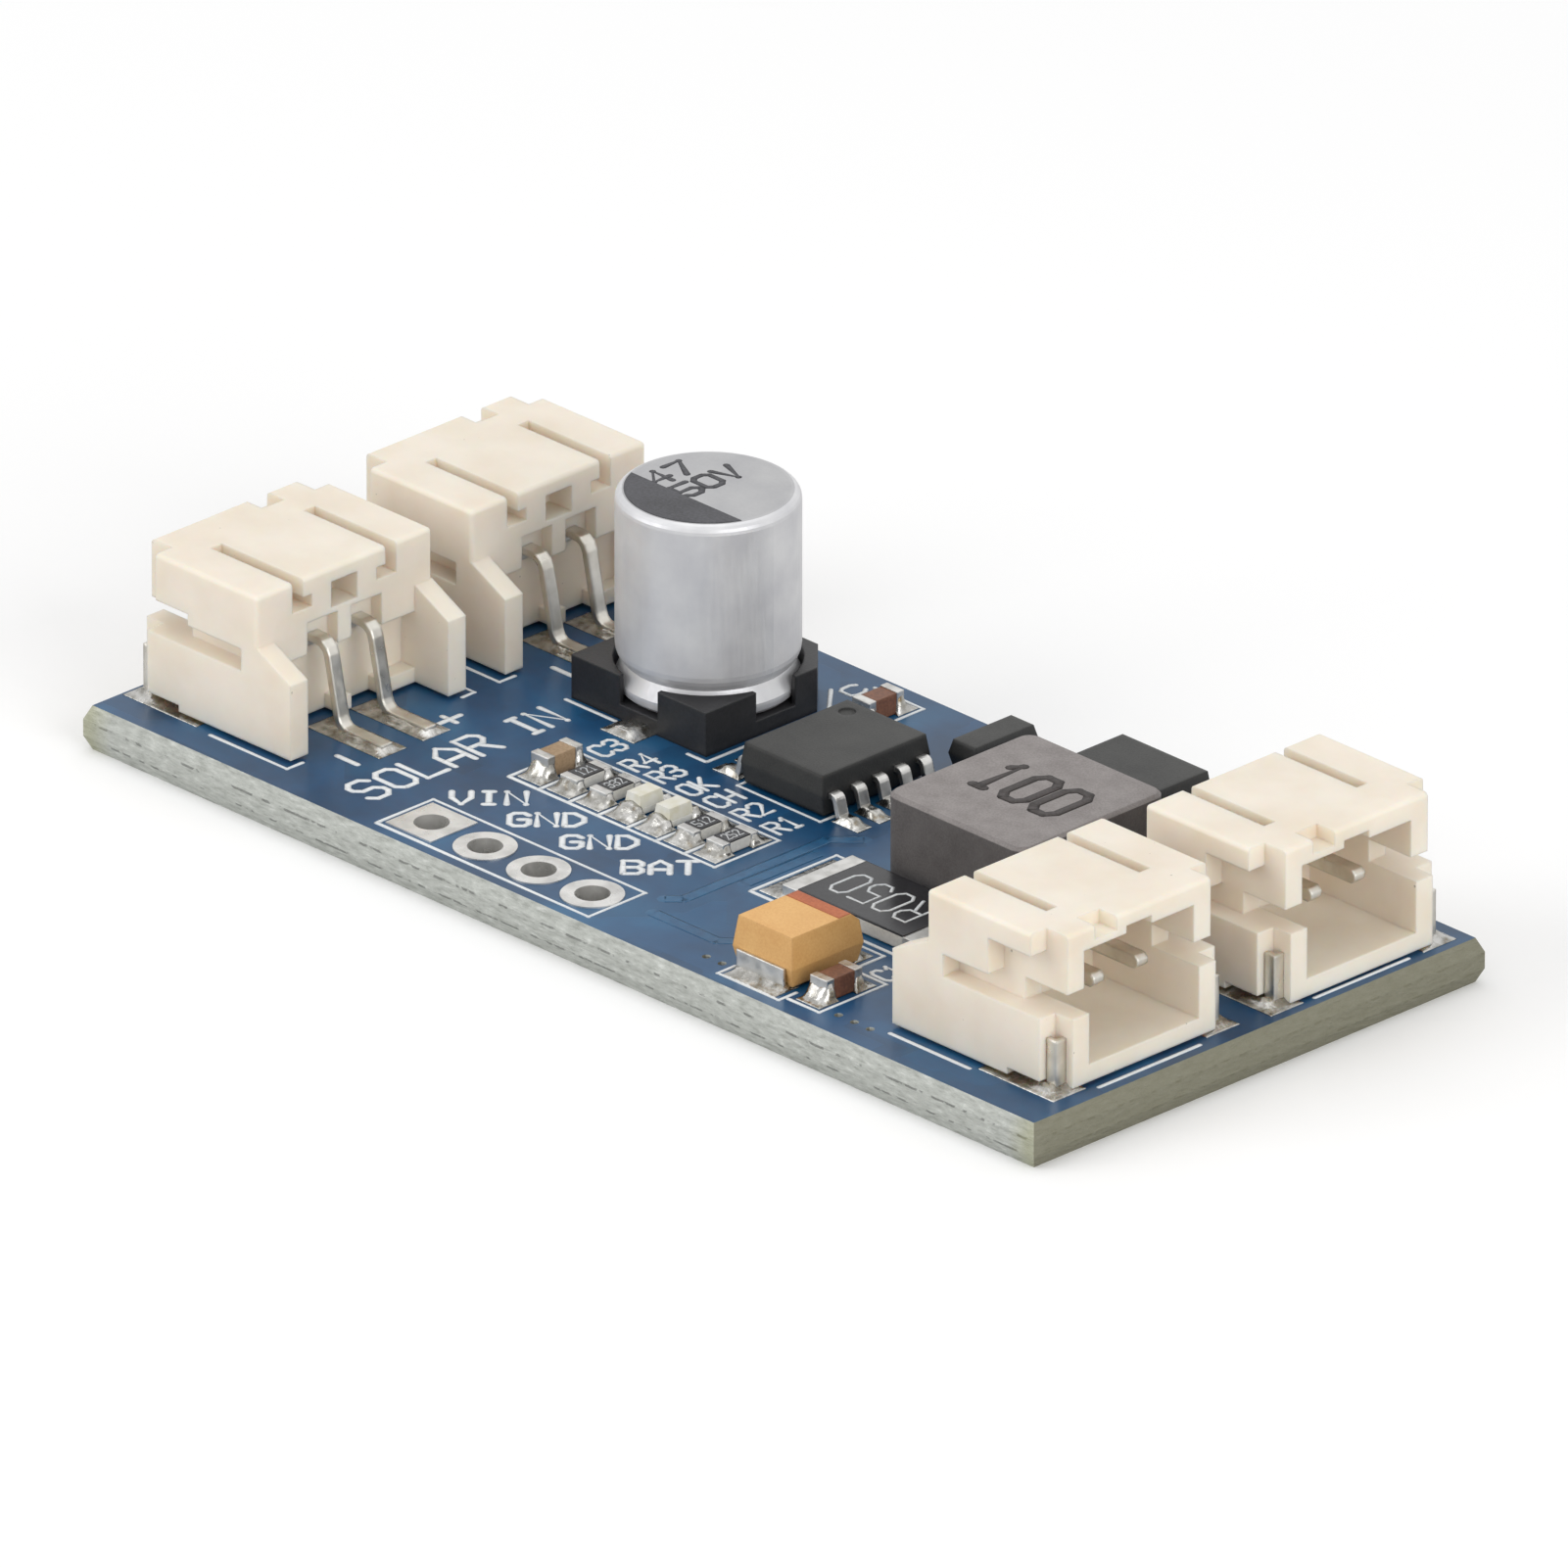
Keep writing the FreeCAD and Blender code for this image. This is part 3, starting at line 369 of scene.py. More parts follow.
def edge_colour(tree, where, normal_x, torn):
    """The torn glass with resin at the corners and a darker, browner right end."""
    along = add(tree, "ShaderNodeSeparateXYZ", {"Vector": where}).outputs["X"]
    away = add(tree, "ShaderNodeMath", {0: along}, operation="ABSOLUTE")
    corner = add(tree, "ShaderNodeMapRange", {"Value": away, "From Min": 21.2 * MM,
                                              "From Max": 22.2 * MM, "To Max": 0.45})
    resin = add(tree, "ShaderNodeMix", {"Factor": corner, "A": torn.outputs[0],
                                        "B": linear("#A09F66")}, data_type="RGBA")
    # The faces that point to +X, the right end, are mixed towards a darker brown.
    is_end = add(tree, "ShaderNodeMath", {0: normal_x, 1: 0.8}, operation="GREATER_THAN")
    darkening = add(tree, "ShaderNodeMath", {0: is_end, 1: 0.75}, operation="MULTIPLY")
    return add(tree, "ShaderNodeMix", {"Factor": darkening, "A": resin.outputs["Result"],
                                       "B": linear("#6C6858")}, data_type="RGBA")


print("rows of nicks at", NICK_LEVELS, "mm above the underside")

# %% [markdown]
# ## The whole board
# The direction of the true normal tells the faces from the edges, and picks the mask's colour,
# gloss and relief or those of the torn glass.

# %% Board material


def board_finish():
    material, tree, shader, where = start_material("blue_mask_on_glass_laminate", "#1F4F80",
                                                   {"IOR": 1.5})
    normal = add(tree, "ShaderNodeNewGeometry").outputs["True Normal"]
    facing = add(tree, "ShaderNodeSeparateXYZ", {"Vector": normal}).outputs
    upright = add(tree, "ShaderNodeMath", {0: facing["Z"]}, operation="ABSOLUTE")
    is_face = add(tree, "ShaderNodeMath", {0: upright, 1: 0.8}, operation="GREATER_THAN")
    mask, filled = mask_colour(tree, where)
    fibre, torn = torn_glass(tree, where)
    edge = edge_colour(tree, where, facing["X"], torn)
    colour = add(tree, "ShaderNodeMix", {"Factor": is_face, "A": edge.outputs["Result"],
                                         "B": mask.outputs[0]}, data_type="RGBA")
    rough = add(tree, "ShaderNodeMix", {"Factor": is_face, "A": 0.75, "B": 0.3},
                data_type="FLOAT")
    ripple = add(tree, "ShaderNodeMath", {0: filled, 1: 0.1}, operation="MULTIPLY")
    height = add(tree, "ShaderNodeMix", {"Factor": is_face, "A": fibre.outputs[0],
                                         "B": ripple.outputs[0]}, data_type="FLOAT")
    relief = add(tree, "ShaderNodeBump", {"Height": height, "Distance": 0.12 * MM})
    wire(tree, shader, {"Base Color": colour.outputs["Result"], "Roughness": rough,
                        "Normal": relief})
    return material


blue_board = board_finish()
print("made", blue_board.name)

# %% [markdown]
# ## Finishes onto the CAD nodes
# A dictionary of names and name endings gives each CAD node its finish; the first one that fits
# counts. The nodes keep their own mesh, and only the material slot changes.

# %% Give the nodes their finish
finishes = {
    "circuit_board": blue_board, "header_hole_plating": land_solder,
    "_housing": ivory_nylon, "_contacts": bright_tin, "_tabs": bright_tin,
    "capacitor_can": satin_can, "capacitor_base": black_base,
    "_leads": matt_tin, "_terminals": matt_tin, "_caps": matt_tin, "_coat": glassy_black,
    "inductor_body": iron_powder, "tantalum_body": amber_epoxy,
    "charger_chip_body": black_epoxy, "diode_body": black_epoxy, "transistor_body": black_epoxy,
    "ceramic_capacitor_1_body": brown_ceramic, "ceramic_capacitor_2_body": brown_ceramic,
    "ceramic_capacitor_3_body": tan_ceramic,
    "_body": white_ceramic, "_base": lamp_white, "_lens": lens_resin,
}
for name, piece in nodes.items():
    ending = next(key for key in finishes if name == key or name.endswith(key))
    piece.data.materials.clear()
    piece.data.materials.append(finishes[ending])
print("finished nodes:", len(nodes))

# %% [markdown]
# ## White print
# The legend is epoxy ink, screened on in strokes of one width. Each letter is a few strokes on
# a grid four units wide and six high. Strokes and frames are first laid out as plain edges, and
# a Geometry Nodes tree then runs a round pen along them, puts a round end at every corner and
# presses the result flat, so one tree with a pen width and an ink height draws every line.

# %% Pen tree


def pen_tree():
    tree = bpy.data.node_groups.new("ink_pen", "GeometryNodeTree")
    face = tree.interface
    face.new_socket(name="Strokes", in_out="INPUT", socket_type="NodeSocketGeometry")
    for name in ("Pen width", "Ink height", "Surface height"):
        face.new_socket(name=name, in_out="INPUT", socket_type="NodeSocketFloat")
    face.new_socket(name="Ink", in_out="INPUT", socket_type="NodeSocketMaterial")
    face.new_socket(name="Print", in_out="OUTPUT", socket_type="NodeSocketGeometry")
    given = add(tree, "NodeGroupInput").outputs
    half = add(tree, "ShaderNodeMath", {0: given["Pen width"], 1: 0.5}, operation="MULTIPLY")
    path = add(tree, "GeometryNodeMeshToCurve", {"Mesh": given["Strokes"]})
    nib = add(tree, "GeometryNodeCurvePrimitiveCircle", {"Radius": half, "Resolution": 8})
    line = add(tree, "GeometryNodeCurveToMesh", {"Curve": path, "Profile Curve": nib,
                                                 "Fill Caps": True})
    dot = add(tree, "GeometryNodeMeshUVSphere", {"Radius": half, "Segments": 8, "Rings": 4})
    ends = add(tree, "GeometryNodeInstanceOnPoints", {"Points": given["Strokes"],
                                                      "Instance": dot})
    dots = add(tree, "GeometryNodeRealizeInstances", {"Geometry": ends})
    joined = add(tree, "GeometryNodeJoinGeometry", {0: dots})
    wire(tree, joined, {0: line})
    flatness = add(tree, "ShaderNodeMath", {0: given["Ink height"], 1: half}, operation="DIVIDE")
    squash = add(tree, "ShaderNodeCombineXYZ", {"X": 1.0, "Y": 1.0, "Z": flatness})
    lift = add(tree, "ShaderNodeCombineXYZ", {"Z": given["Surface height"]})
    flat = add(tree, "GeometryNodeTransform", {"Geometry": joined, "Scale": squash,
                                               "Translation": lift})
    inked = add(tree, "GeometryNodeSetMaterial", {"Geometry": flat, "Material": given["Ink"]})
    add(tree, "NodeGroupOutput", {"Print": inked})
    return tree


ink_pen = pen_tree()
print("made the tree", ink_pen.name, "with", len(ink_pen.nodes), "nodes")

# %% [markdown]
# ## From a tree to a piece
# The tree runs as a modifier once, and the piece keeps the plain mesh that comes out. Every new
# piece then rides on the only body of the model.

# %% Pieces


def own(piece):
    """Make the piece ride on the body, and say how large its mesh is."""
    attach(piece, "root")
    print(piece.name, "triangles:", sum(len(p.vertices) - 2 for p in piece.data.polygons))


def draw(name, sheet, ink, pen_mm, height_mm, level):
    """Strokes of a sheet as ink with this pen width and height, on a level in metres."""
    values = {"Pen width": pen_mm * MM, "Ink height": height_mm * MM,
              "Surface height": level, "Ink": ink}
    piece = bpy.data.objects.new(name, sheet.mesh(name))
    bpy.context.scene.collection.objects.link(piece)
    modifier = piece.modifiers.new("pen", "NODES")
    modifier.node_group = ink_pen
    for item in ink_pen.interface.items_tree:
        if item.name in values:
            modifier[item.identifier] = values[item.name]
    inked = piece.evaluated_get(bpy.context.evaluated_depsgraph_get())
    made = bpy.data.meshes.new_from_object(inked)
    piece.modifiers.remove(modifier)
    piece.data = made
    own(piece)


# %% [markdown]
# ## Letters
# Each glyph is a list of strokes, and each stroke a run of two-digit points on that grid. A
# sheet collects strokes and words; a word is given by where it starts, which way it runs, how
# tall and wide its letters are and the gap between them. The print's V has upright sides; the
# plain one that is stamped on the can is listed as v.

# %% Glyphs and words
GLYPHS = {
    "A": "0004264440 0242", "B": "00063645443303 3342413000", "C": "4536160501103041",
    "D": "00062644422000", "G": "453616050110304143 4323", "H": "0006 4046 0343",
    "I": "1030 2026 1636", "K": "0006 4602 1340", "L": "060040", "N": "00064046",
    "O": "103041453616050110", "R": "00063645443303 2340", "S": "453616050413334241301001",
    "T": "0646 2620", "V": "0603204346", "v": "062046", "0": "103041453616050110",
    "1": "152620 1030", "2": "05163645440040", "3": "0516364544332313 334241301001",
    "4": "30360242", "5": "460603334241301001", "7": "064610", "+": "2125 0343",
}


class Sheet:
    """Collects strokes as edges on one flat level, in layout millimetres."""

    def __init__(self):
        self.points, self.edges = [], []

    def stroke(self, points):
        first = len(self.points)
        self.points += [tuple(spot(x, y).xy) + (0.0,) for x, y in points]
        self.edges += [(i, i + 1) for i in range(first, len(self.points) - 1)]

    def word(self, text, start, angle, height, width, gap):
        """Text from the lower left corner of its first letter, turned by an angle in degrees."""
        turn = math.radians(angle)
        along = (math.cos(turn), math.sin(turn))
        up = (-math.sin(turn), math.cos(turn))
        for index, letter in enumerate(text):
            shift = index * (width + gap)
            for run in GLYPHS[letter].split():
                grid = [(int(run[i]) / 4 * width, int(run[i + 1]) / 6 * height)
                        for i in range(0, len(run), 2)]
                self.stroke([(start[0] + along[0] * (a + shift) + up[0] * b,
                              start[1] + along[1] * (a + shift) + up[1] * b) for a, b in grid])

    def mesh(self, name):
        made = bpy.data.meshes.new(name)
        made.from_pydata(self.points, self.edges, [])
        return made


print("glyphs:", len(GLYPHS))

# %% [markdown]
# ## Fine print
# Frames round the parts, corners of the sockets and the names of the small parts are drawn with
# the finer pen. Short strokes divide the pads of the seven small parts in their row.

# %% Fine print
white_ink = pressed("white_epoxy_ink", "#DDE2E6", "#F2F4F4", 0.5, 0.08, 0.004)
INK_HEIGHT, FINE_PEN = 0.025, 0.18
DIVIDER = (6.05, 7.2)
NAME_SHIFT, NAMES_Y = 0.38, 9.36

fine = Sheet()
fine_lines = [
    [(13.1, 0.45), (23.15, 0.45), (23.15, 3.05), (13.1, 3.05), (13.1, 0.45)],
    [(13.55, 6.05), (23.3, 6.05), (23.3, 9.0), (13.55, 9.0), (13.55, 6.05)],
    [(25.43, 5.63), (34.2, 5.63)], [(25.43, 5.63), (25.43, 9.57), (28.4, 9.57)],
    [(29.2, 1.3), (29.2, 0.5), (32.05, 0.5), (32.05, 1.3)],
    [(29.2, 4.1), (29.2, 5.3), (32.05, 5.3), (32.05, 4.1)],
    [(32.2, 0.8), (33.65, 0.8), (33.65, 3.85), (32.2, 3.85)],
    [(19.3, 16.6), (19.3, 19.5), (17.0, 19.5)],
    [(17.28, 11.5), (17.28, 17.1), (16.1, 18.35)],
    [(10.55, 11.55), (12.9, 11.55)], [(16.4, 11.5), (17.28, 11.5)],
    [(19.3, 11.6), (19.3, 10.98), (23.2, 10.98), (23.2, 11.6)],
    [(36.4, 1.36), (40.1, 1.36)], [(4.4, 1.2), (8.05, 1.2), (8.05, 1.9)],
    [(6.2, 9.75), (8.05, 9.75), (8.05, 9.2)], [(6.2, 10.9), (8.05, 10.9), (8.05, 11.6)],
    [(44.05, 3.4), (44.05, 8.0)], [(44.1, 13.2), (44.1, 17.5)],
]
for line in fine_lines:
    fine.stroke(line)
for x in (14.95, 16.35, 17.75, 19.1, 20.5, 21.85):
    fine.stroke([(x, y) for y in DIVIDER])
row_names = (("C3", 14.3), ("R4", 15.85), ("R3", 17.1), ("OK", 18.5), ("CH", 19.8),
             ("R2", 21.15), ("R1", 22.6))
for text, x in row_names:
    fine.word(text, (x + NAME_SHIFT, NAMES_Y), 90, 0.9, 0.48, 0.16)
fine.word("C", (17.0, 18.5), 90, 0.7, 0.7, 0.2)
fine.word("C1", (33.55, 4.05), 90, 0.9, 0.4, 0.12)
draw("legend_frames", fine, white_ink, FINE_PEN, INK_HEIGHT, TOP * MM)

# %% [markdown]
# ## Bold print
# The marks of the sockets and the names of the four holes, which run at 45 degrees.

# %% Bold print
BOLD_PEN = 0.24
MINUS = (8.46, 9.42)

bold = Sheet()
bold.word("SOLAR", (11.78, 1.57), 90, 1.45, 0.92, 0.33)
bold.word("IN", (11.75, 8.78), 90, 1.35, 0.72, 0.25)
hole_names = (("VIN", 13.77, 3.22), ("GND", 16.31, 3.42), ("GND", 18.76, 3.47),
              ("BAT", 21.55, 3.55))
for text, x, y in hole_names:
    bold.word(text, (x, y), 45, 0.98, 0.64, 0.27)
bold.word("+", (9.5, 7.2), 90, 1.0, 1.0, 0.2)
for y in (3.1, 12.96):
    bold.stroke([(x, y) for x in MINUS])
draw("legend_words", bold, white_ink, BOLD_PEN, INK_HEIGHT, TOP * MM)

# %% [markdown]
# ## Copper tracks under the mask
# Where copper runs under the mask, the mask stands a hair higher and looks lighter. The same
# pen lays the tracks that show beside the row of small parts, with bends of 45 degrees as a
# layout program makes them.

# %% Tracks
mask_over_copper = pressed("mask_over_copper", "#0F486F", "#1A5A82", 0.3, 0.3, 0.003,
                           patch_mm=2.5, edge_mm=0.0)
TRACK_WIDTH, TRACK_HEIGHT = 0.55, 0.004
tracks = Sheet()
for line in ([(23.9, 3.2), (24.35, 3.65), (24.35, 10.2), (25.2, 11.05)],
             [(24.4, 2.2), (27.4, 2.2), (28.7, 3.5)],
             [(24.9, 5.9), (24.9, 9.2)]):
    tracks.stroke(line)
draw("mask_tracks", tracks, mask_over_copper, TRACK_WIDTH, TRACK_HEIGHT, TOP * MM)

# %% [markdown]
# ## Solder
# Solder wets a pad up to its edge and climbs the metal that stands on it, so its surface is a
# hollow curve: low at the rim and steep at the lead. Each joint is a small closed patch over
# its pad. The height at a point comes from how far it is from the rim and from the lead, and
# two crossed waves make it a little lumpy.

# %% Solder patches
RIM_HEIGHT, OUTER_SHARE = 0.035, 0.6
LUMP_SHARE = 0.16
UNDERSIDE = -0.01
STEPS = 12


def solder_height(x, y, pad, lead, climb):
    """Height of the solder over a pad. Pad and lead are (x0, x1, y0, y1) in layout mm."""
    to_rim = min(x - pad[0], pad[1] - x, y - pad[2], pad[3] - y)
    if to_rim <= 0:
        return RIM_HEIGHT * OUTER_SHARE
    dx = max(lead[0] - x, 0, x - lead[1])
    dy = max(lead[2] - y, 0, y - lead[3])
    share = to_rim / (to_rim + math.hypot(dx, dy))
    lump = LUMP_SHARE * math.sin(7.3 * x + 2.1 * y) * math.sin(5.1 * y - 1.7 * x)
    return RIM_HEIGHT + (climb - RIM_HEIGHT) * share ** 2.0 * (1 + lump)


def solder_patch(pad, lead, climb):
    """Points and faces of one joint, as a closed patch that dips just into the board."""
    x0, x1, y0, y1 = pad
    row = STEPS + 1
    points, faces = [], []
    wave = np.cos(np.linspace(math.pi, 0, row)) * 0.5 + 0.5
    for is_top in (True, False):
        for v in wave:
            for u in wave:
                x, y = x0 + (x1 - x0) * u, y0 + (y1 - y0) * v
                z = solder_height(x, y, pad, lead, climb) if is_top else UNDERSIDE
                points.append(tuple(spot(x, y, z)))
    below = row * row
    for r in range(STEPS):
        for c in range(STEPS):
            a = r * row + c
            faces.append((a, a + 1, a + row + 1, a + row))
            faces.append((below + a, below + a + row, below + a + row + 1, below + a + 1))
    rim = (list(range(row)) + [r * row + STEPS for r in range(1, row)]
           + [STEPS * row + c for c in range(STEPS - 1, -1, -1)]
           + [r * row for r in range(STEPS - 1, 0, -1)])
    for a, b in zip(rim, rim[1:] + rim[:1]):
        faces.append((b, a, below + a, below + b))
    return points, faces


print("points in a solder patch:", 2 * (STEPS + 1) ** 2)

# %% [markdown]
# ## Joints at the ends of a part
# Most parts have a terminal at each of their two ends. Such a pair of joints follows from the
# terminals' outline: how far each pad goes past it, under it and beside it, how long the
# metal is and how high the solder climbs. The chip and the sockets have leads that point away
# from a line instead, and each pad and foot is measured from that line.

# %% Kinds of joint


def end_joints(node, axis, past, under, beside, metal, climb):
    """Joints at both ends of a node along X or Y."""
    x0, x1, y0, y1 = node_rectangle(node)
    if axis == "X":
        sides = (y0 - beside, y1 + beside)
        return [solder_patch((x0 - past, x0 + under, *sides), (x0, x0 + metal, y0, y1), climb),
                solder_patch((x1 - under, x1 + past, *sides), (x1 - metal, x1, y0, y1), climb)]
    sides = (x0 - beside, x1 + beside)
    return [solder_patch((*sides, y0 - past, y0 + under), (x0, x1, y0, y0 + metal), climb),
            solder_patch((*sides, y1 - under, y1 + past), (x0, x1, y1 - metal, y1), climb)]


def lead_joint(start, way, y, pad, foot, climb):
    """Joint of a lead that points from x = start to +X or -X. Pad and foot are
    (nearest, farthest, half width)."""
    pad_x = sorted((start + way * pad[0], start + way * pad[1]))
    foot_x = sorted((start + way * foot[0], start + way * foot[1]))
    return solder_patch((*pad_x, y - pad[2], y + pad[2]), (*foot_x, y - foot[2], y + foot[2]),
                        climb)


joints = []
small_parts = ([("ceramic_capacitor_%d" % number, 0.6) for number in (1, 2, 3)]
               + [("resistor_%d" % number, 0.4) for number in (1, 2, 3, 4)]
               + [("full_lamp", 0.4), ("charging_lamp", 0.4)])
for part, climb in small_parts:
    joints += end_joints(part + "_caps", "Y", past=0.5, under=0.4, beside=0.16, metal=0.3,
                         climb=climb)
print("joints of the small parts:", len(joints))

# %% [markdown]
# ## All the other joints
# The chip has five leads a side. A socket has two contacts, which come down behind it, and two
# tabs beside its mouth. The small transistor's three leads get a short pad each. All patches
# together are one piece, since they are one metal and never come apart.

# %% Joints
CHIP_X, CHIP_Y, CHIP_PITCH = 21.25, 13.57, 1.0
for index in range(5):
    for side in (-1, 1):
        joints.append(lead_joint(CHIP_X, side, CHIP_Y + (index - 2) * CHIP_PITCH,
                                 pad=(2.2, 3.45, 0.32), foot=(2.4, 3.0, 0.21), climb=0.26))

CONTACT_Y, TAB_Y = 1.0, 3.5
for socket, inward in (("solar_socket_near", 1), ("solar_socket_far", 1),
                       ("output_socket_near", -1), ("output_socket_far", -1)):
    x0, x1, y0, y1 = node_rectangle(socket + "_housing")
    centre = (y0 + y1) / 2
    mouth = x0 if inward == 1 else x1
    for side in (-1, 1):
        joints.append(lead_joint(mouth, inward, centre + side * CONTACT_Y,
                                 pad=(5.9, 9.4, 0.63), foot=(7.0, 9.12, 0.24), climb=0.22))
        joints.append(lead_joint(mouth, inward, centre + side * TAB_Y,
                                 pad=(-0.12, 3.4, 0.75), foot=(0.25, 1.0, 0.4), climb=0.3))

joints += end_joints("sense_resistor_caps", "X", past=1.0, under=0.7, beside=0.1, metal=0.5,
                     climb=0.35)
joints += end_joints("tantalum_terminals", "Y", past=0.5, under=0.6, beside=0.12, metal=0.3,
                     climb=0.25)
joints += end_joints("capacitor_leads", "Y", past=0.25, under=2.2, beside=0.45, metal=1.0,
                     climb=0.24)
joints += end_joints("inductor_terminals", "X", past=0.3, under=1.5, beside=0.1, metal=1.0,
                     climb=0.5)
joints += end_joints("diode_leads", "X", past=0.5, under=1.2, beside=0.2, metal=0.8,
                     climb=0.45)

TRANSISTOR_X, TRANSISTOR_Y = 23.85, 18.3
for dx, dy in ((1.05, 0.95), (1.05, -0.95), (-1.05, 0.0)):
    x, y = TRANSISTOR_X + dx, TRANSISTOR_Y + dy
    joints.append(solder_patch((x - 0.5, x + 0.5, y - 0.4, y + 0.4),
                               (x - 0.2, x + 0.2, y - 0.2, y + 0.2), 0.2))


def gather(name, patches, material, smooth=True):
    """Many small closed patches as one piece."""
    points, faces = [], []
    for patch_points, patch_faces in patches:
        shift = len(points)
        points += patch_points
        faces += [tuple(i + shift for i in face) for face in patch_faces]
    mesh = bpy.data.meshes.new(name)
    mesh.from_pydata(points, [], faces)
    mesh.materials.append(material)
    for polygon in mesh.polygons:
        polygon.use_smooth = smooth
    piece = bpy.data.objects.new(name, mesh)
    bpy.context.scene.collection.objects.link(piece)
    own(piece)


gather("solder_joints", joints, frozen_solder)

# %% [markdown]
# ## Values on the parts
# The can, the inductor, the sense resistor and the small resistors carry their values. They are
# the same flat strokes with other pens and inks, laid on top of their node. In the row of seven
# small parts, places 1, 2, 5 and 6 are the resistors.

# %% Values
STAMP_HEIGHT = 0.012
ROW_START, ROW_PITCH = 14.28, 1.385
dark_ink = pressed("dark_stamping_ink", "#39393C", "#505055", 0.6, 0.1, 0.003)
brown_ink = pressed("brown_stamping_ink", "#332E2C", "#474140", 0.7, 0.1, 0.003)


def stamp(name, ink, pen, node, words):
    """Words on top of a node. Each is (text, start, angle, height, width, gap)."""
    sheet = Sheet()
    for word in words:
        sheet.word(*word)
    draw(name, sheet, ink, pen, STAMP_HEIGHT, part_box(node)[1].z)


stamp("inductor_value", brown_ink, 0.4, "inductor_body",
      [("100", (28.87, 12.2), 0, 2.1, 1.0, 0.41)])
stamp("can_value", dark_ink, 0.25, "capacitor_can",
      [("47", (12.56, 13.97), 90, 0.95, 0.72, 0.3), ("50v", (13.9, 14.0), 90, 0.95, 0.72, 0.22)])
stamp("sense_resistor_value", white_ink, 0.13, "sense_resistor_coat",
      [("R050", (31.55, 8.3), 180, 1.55, 0.72, 0.27)])
stamp("resistor_values", white_ink, 0.06, "resistor_1_coat",
      [(code, (ROW_START + ROW_PITCH * place + 0.2, 7.2), 90, 0.42, 0.18, 0.07)
       for code, place in (("121", 1), ("332", 2), ("512", 5), ("252", 6))])

# %% [markdown]
# ## Dark segment of the can
# The can's polarity is a printed segment: a thin sheet between a chord and the round rim.

# %% Can segment
SEGMENT_RADIUS, SEGMENT_CHORD = 2.8, 1.0
SEGMENT_LEVELS = (-0.005, 0.01)
RIM_POINTS = 33


def can_segment():
    """Points and faces of the segment on the near side of the can's top."""
    low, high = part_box("capacitor_can")
    centre = (low + high) / 2
    radius = SEGMENT_RADIUS * MM
    reach = math.acos(SEGMENT_CHORD * MM / radius)
    rim = [(centre.x + radius * math.sin(a), centre.y - radius * math.cos(a))
           for a in np.linspace(-reach, reach, RIM_POINTS)]
    points = [(x, y, high.z + level * MM) for level in SEGMENT_LEVELS for x, y in rim]
    count = len(rim)
    faces = [tuple(range(count - 1, -1, -1)), tuple(range(count, 2 * count))]
    faces += [(i, (i + 1) % count, count + (i + 1) % count, count + i) for i in range(count)]
    return points, faces


gather("can_segment", [can_segment()], dark_ink, smooth=False)

# %% [markdown]
# ## Polarity band
# The amber capacitor has a brown band across the end of its top, which goes on down the bevel
# there. It is a thin folded sheet with three rows of points, each given by how far it lies from
# the body's far side and below its top.

# %% Band
band_ink = pressed("brown_polarity_band", "#A8552F", "#BF6B3E", 0.5, 0.1, 0.003)
BAND_INSET = 0.16
BAND_ROWS = ((0.98, 0.0), (0.44, 0.0), (0.12, 0.284))
BAND_LEVELS = (-0.01, 0.012)

low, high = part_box("tantalum_body")
sides = (low.x + BAND_INSET * MM, high.x - BAND_INSET * MM)
band_points = [(x, high.y - back * MM, high.z - drop * MM + level * MM)
               for level in BAND_LEVELS for back, drop in BAND_ROWS for x in sides]
band_faces = [(0, 2, 3, 1), (2, 4, 5, 3), (6, 7, 9, 8), (8, 9, 11, 10), (0, 1, 7, 6),
              (4, 10, 11, 5), (0, 6, 8, 2), (2, 8, 10, 4), (1, 3, 9, 7), (3, 5, 11, 9)]
gather("tantalum_band", [(band_points, band_faces)], band_ink, smooth=False)

# %% [markdown]
# ## Table top
# The board lies on a plain pale table. The camera sees it white. For all other rays, bounced
# light and reflections among them, it is a little greyer.

# %% Table
TABLE_HALF = 3.0


def pale_table():
    material = bpy.data.materials.new("pale_table")
    material.use_nodes = True
    tree = material.node_tree
    tree.nodes.clear()
    seen = add(tree, "ShaderNodeLightPath").outputs["Is Camera Ray"]
    tone = add(tree, "ShaderNodeMix", {"Factor": seen, "A": linear("#DADADA"),
                                       "B": linear("#FFFFFF")}, data_type="RGBA")
    surface = add(tree, "ShaderNodeBsdfDiffuse", {"Color": tone.outputs["Result"]})
    add(tree, "ShaderNodeOutputMaterial", {"Surface": surface})
    return material


floor_mesh = bpy.data.meshes.new("table_top")
corners = [(x * TABLE_HALF, y * TABLE_HALF, 0) for x, y in ((-1, -1), (1, -1), (1, 1), (-1, 1))]
floor_mesh.from_pydata(corners, [], [(0, 1, 2, 3)])
floor_mesh.materials.append(pale_table())
floor = bpy.data.objects.new("table_top", floor_mesh)
bpy.context.scene.collection.objects.link(floor)
print("table:", 2 * TABLE_HALF, "m wide")

# %% [markdown]
# ## Room
# The room is white all round. Camera, glossy and transmission rays see it at full strength, so
# the background and the reflections are clean, and the object is lit by a dimmer one.

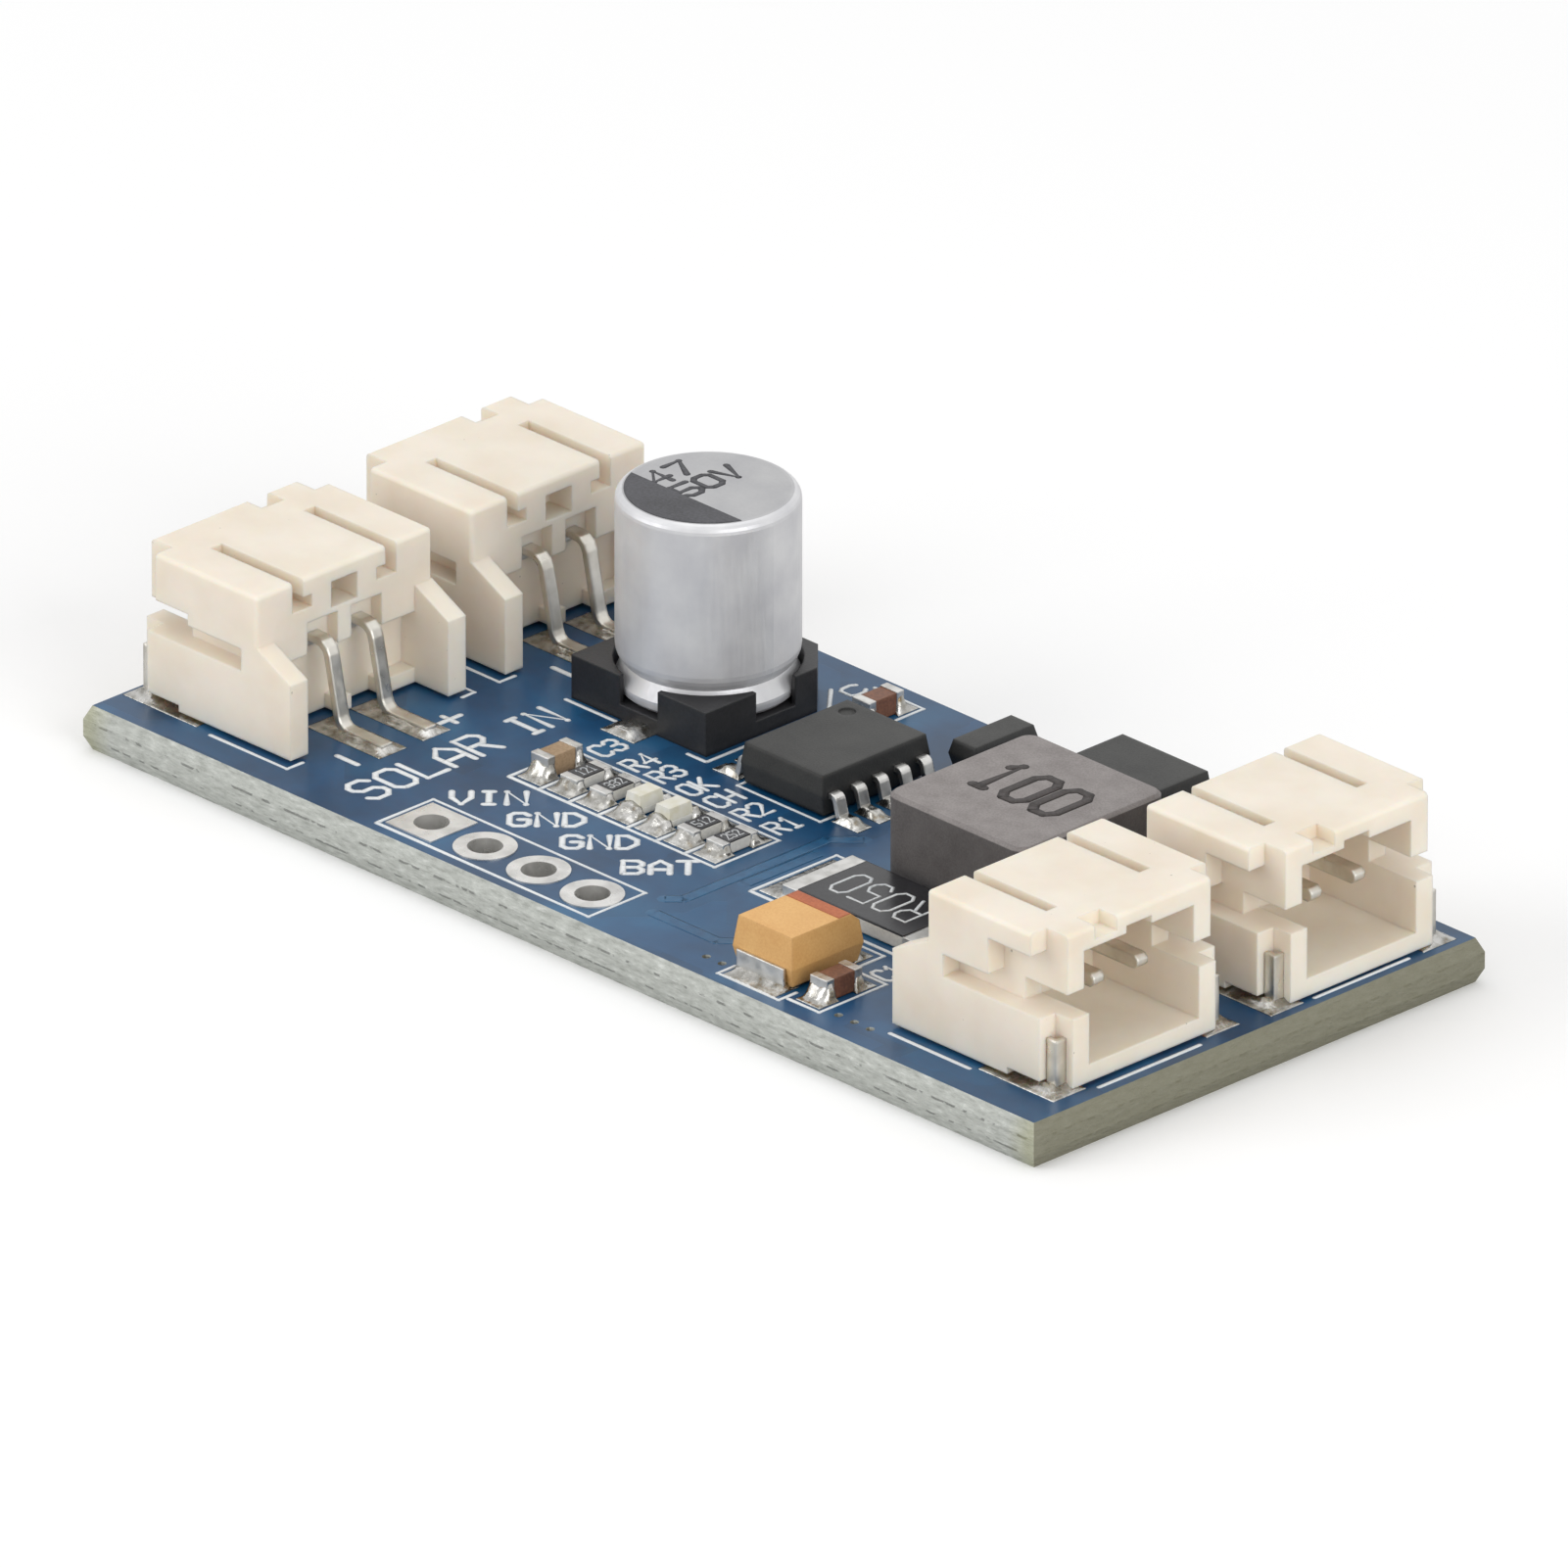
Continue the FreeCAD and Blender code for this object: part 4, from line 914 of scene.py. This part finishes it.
# %% Room
world = bpy.data.worlds.new("soft_room")
bpy.context.scene.world = world
world.use_nodes = True
sky = world.node_tree
sky.nodes.clear()
room = add(sky, "ShaderNodeBackground", {"Color": linear("#FFFFFF"), "Strength": 0.65})
shown = add(sky, "ShaderNodeBackground", {"Color": linear("#FFFFFF"), "Strength": 1.0})
ray = add(sky, "ShaderNodeLightPath").outputs
seen = add(sky, "ShaderNodeMath", {0: ray["Is Camera Ray"], 1: ray["Is Glossy Ray"]},
           operation="MAXIMUM")
seen = add(sky, "ShaderNodeMath", {0: seen, 1: ray["Is Transmission Ray"]}, operation="MAXIMUM")
blend = add(sky, "ShaderNodeMixShader", {0: seen, 1: room, 2: shown})
add(sky, "ShaderNodeOutputWorld", {"Surface": blend})
print("world:", world.name)

# %% [markdown]
# ## Lamps
# Product photos of such boards are made in a light tent. Three large, soft area lamps stand in
# for its walls: a weak one above, one in front on the left, and the strongest on the right,
# which lights the open sockets.

# %% Lamps


def soft_lamp(name, place, size, power):
    """Square area lamp that faces the board. Size in metres, power in watts."""
    data = bpy.data.lights.new(name, "AREA")
    data.size = size
    data.energy = power
    lamp = bpy.data.objects.new(name, data)
    lamp.location = place
    lamp.rotation_euler = Vector(place).to_track_quat("Z", "Y").to_euler()
    bpy.context.scene.collection.objects.link(lamp)
    print("lamp", name, power, "W")


soft_lamp("tent_top", (-0.05, 0.05, 0.4), 0.35, 0.28)
soft_lamp("tent_left", (-0.2, -0.35, 0.22), 0.3, 0.6)
soft_lamp("tent_right", (0.4, -0.05, 0.16), 0.3, 0.72)

# %% [markdown]
# ## Camera
# The photo was taken from far away, so its lines hardly converge. The camera stands 1.8 m off
# with a very long lens, at the azimuth and elevation that the board's edges give.

# %% Camera
AZIMUTH, ELEVATION = math.radians(45.92), math.radians(25.21)
DISTANCE = 1.81896
FOCAL_PIXELS, PHOTO_PIXELS = 56500.07, 1601
SENSOR = 36.0
FAR_LIMIT = 10.0
AIM = Vector((-0.154, 0.291, 2.795)) * MM

back = Vector((math.sin(AZIMUTH) * math.cos(ELEVATION), -math.cos(AZIMUTH) * math.cos(ELEVATION),
               math.sin(ELEVATION)))
camera_data = bpy.data.cameras.new("long_lens")
camera_data.sensor_width = SENSOR
camera_data.lens = FOCAL_PIXELS / PHOTO_PIXELS * SENSOR
camera_data.clip_end = FAR_LIMIT
camera = bpy.data.objects.new("long_lens", camera_data)
camera.location = AIM + back * DISTANCE
camera.rotation_euler = back.to_track_quat("Z", "Y").to_euler()
bpy.context.scene.collection.objects.link(camera)
bpy.context.scene.camera = camera
bpy.context.scene.view_settings.view_transform = "Standard"
print("lens:", round(camera_data.lens), "mm")
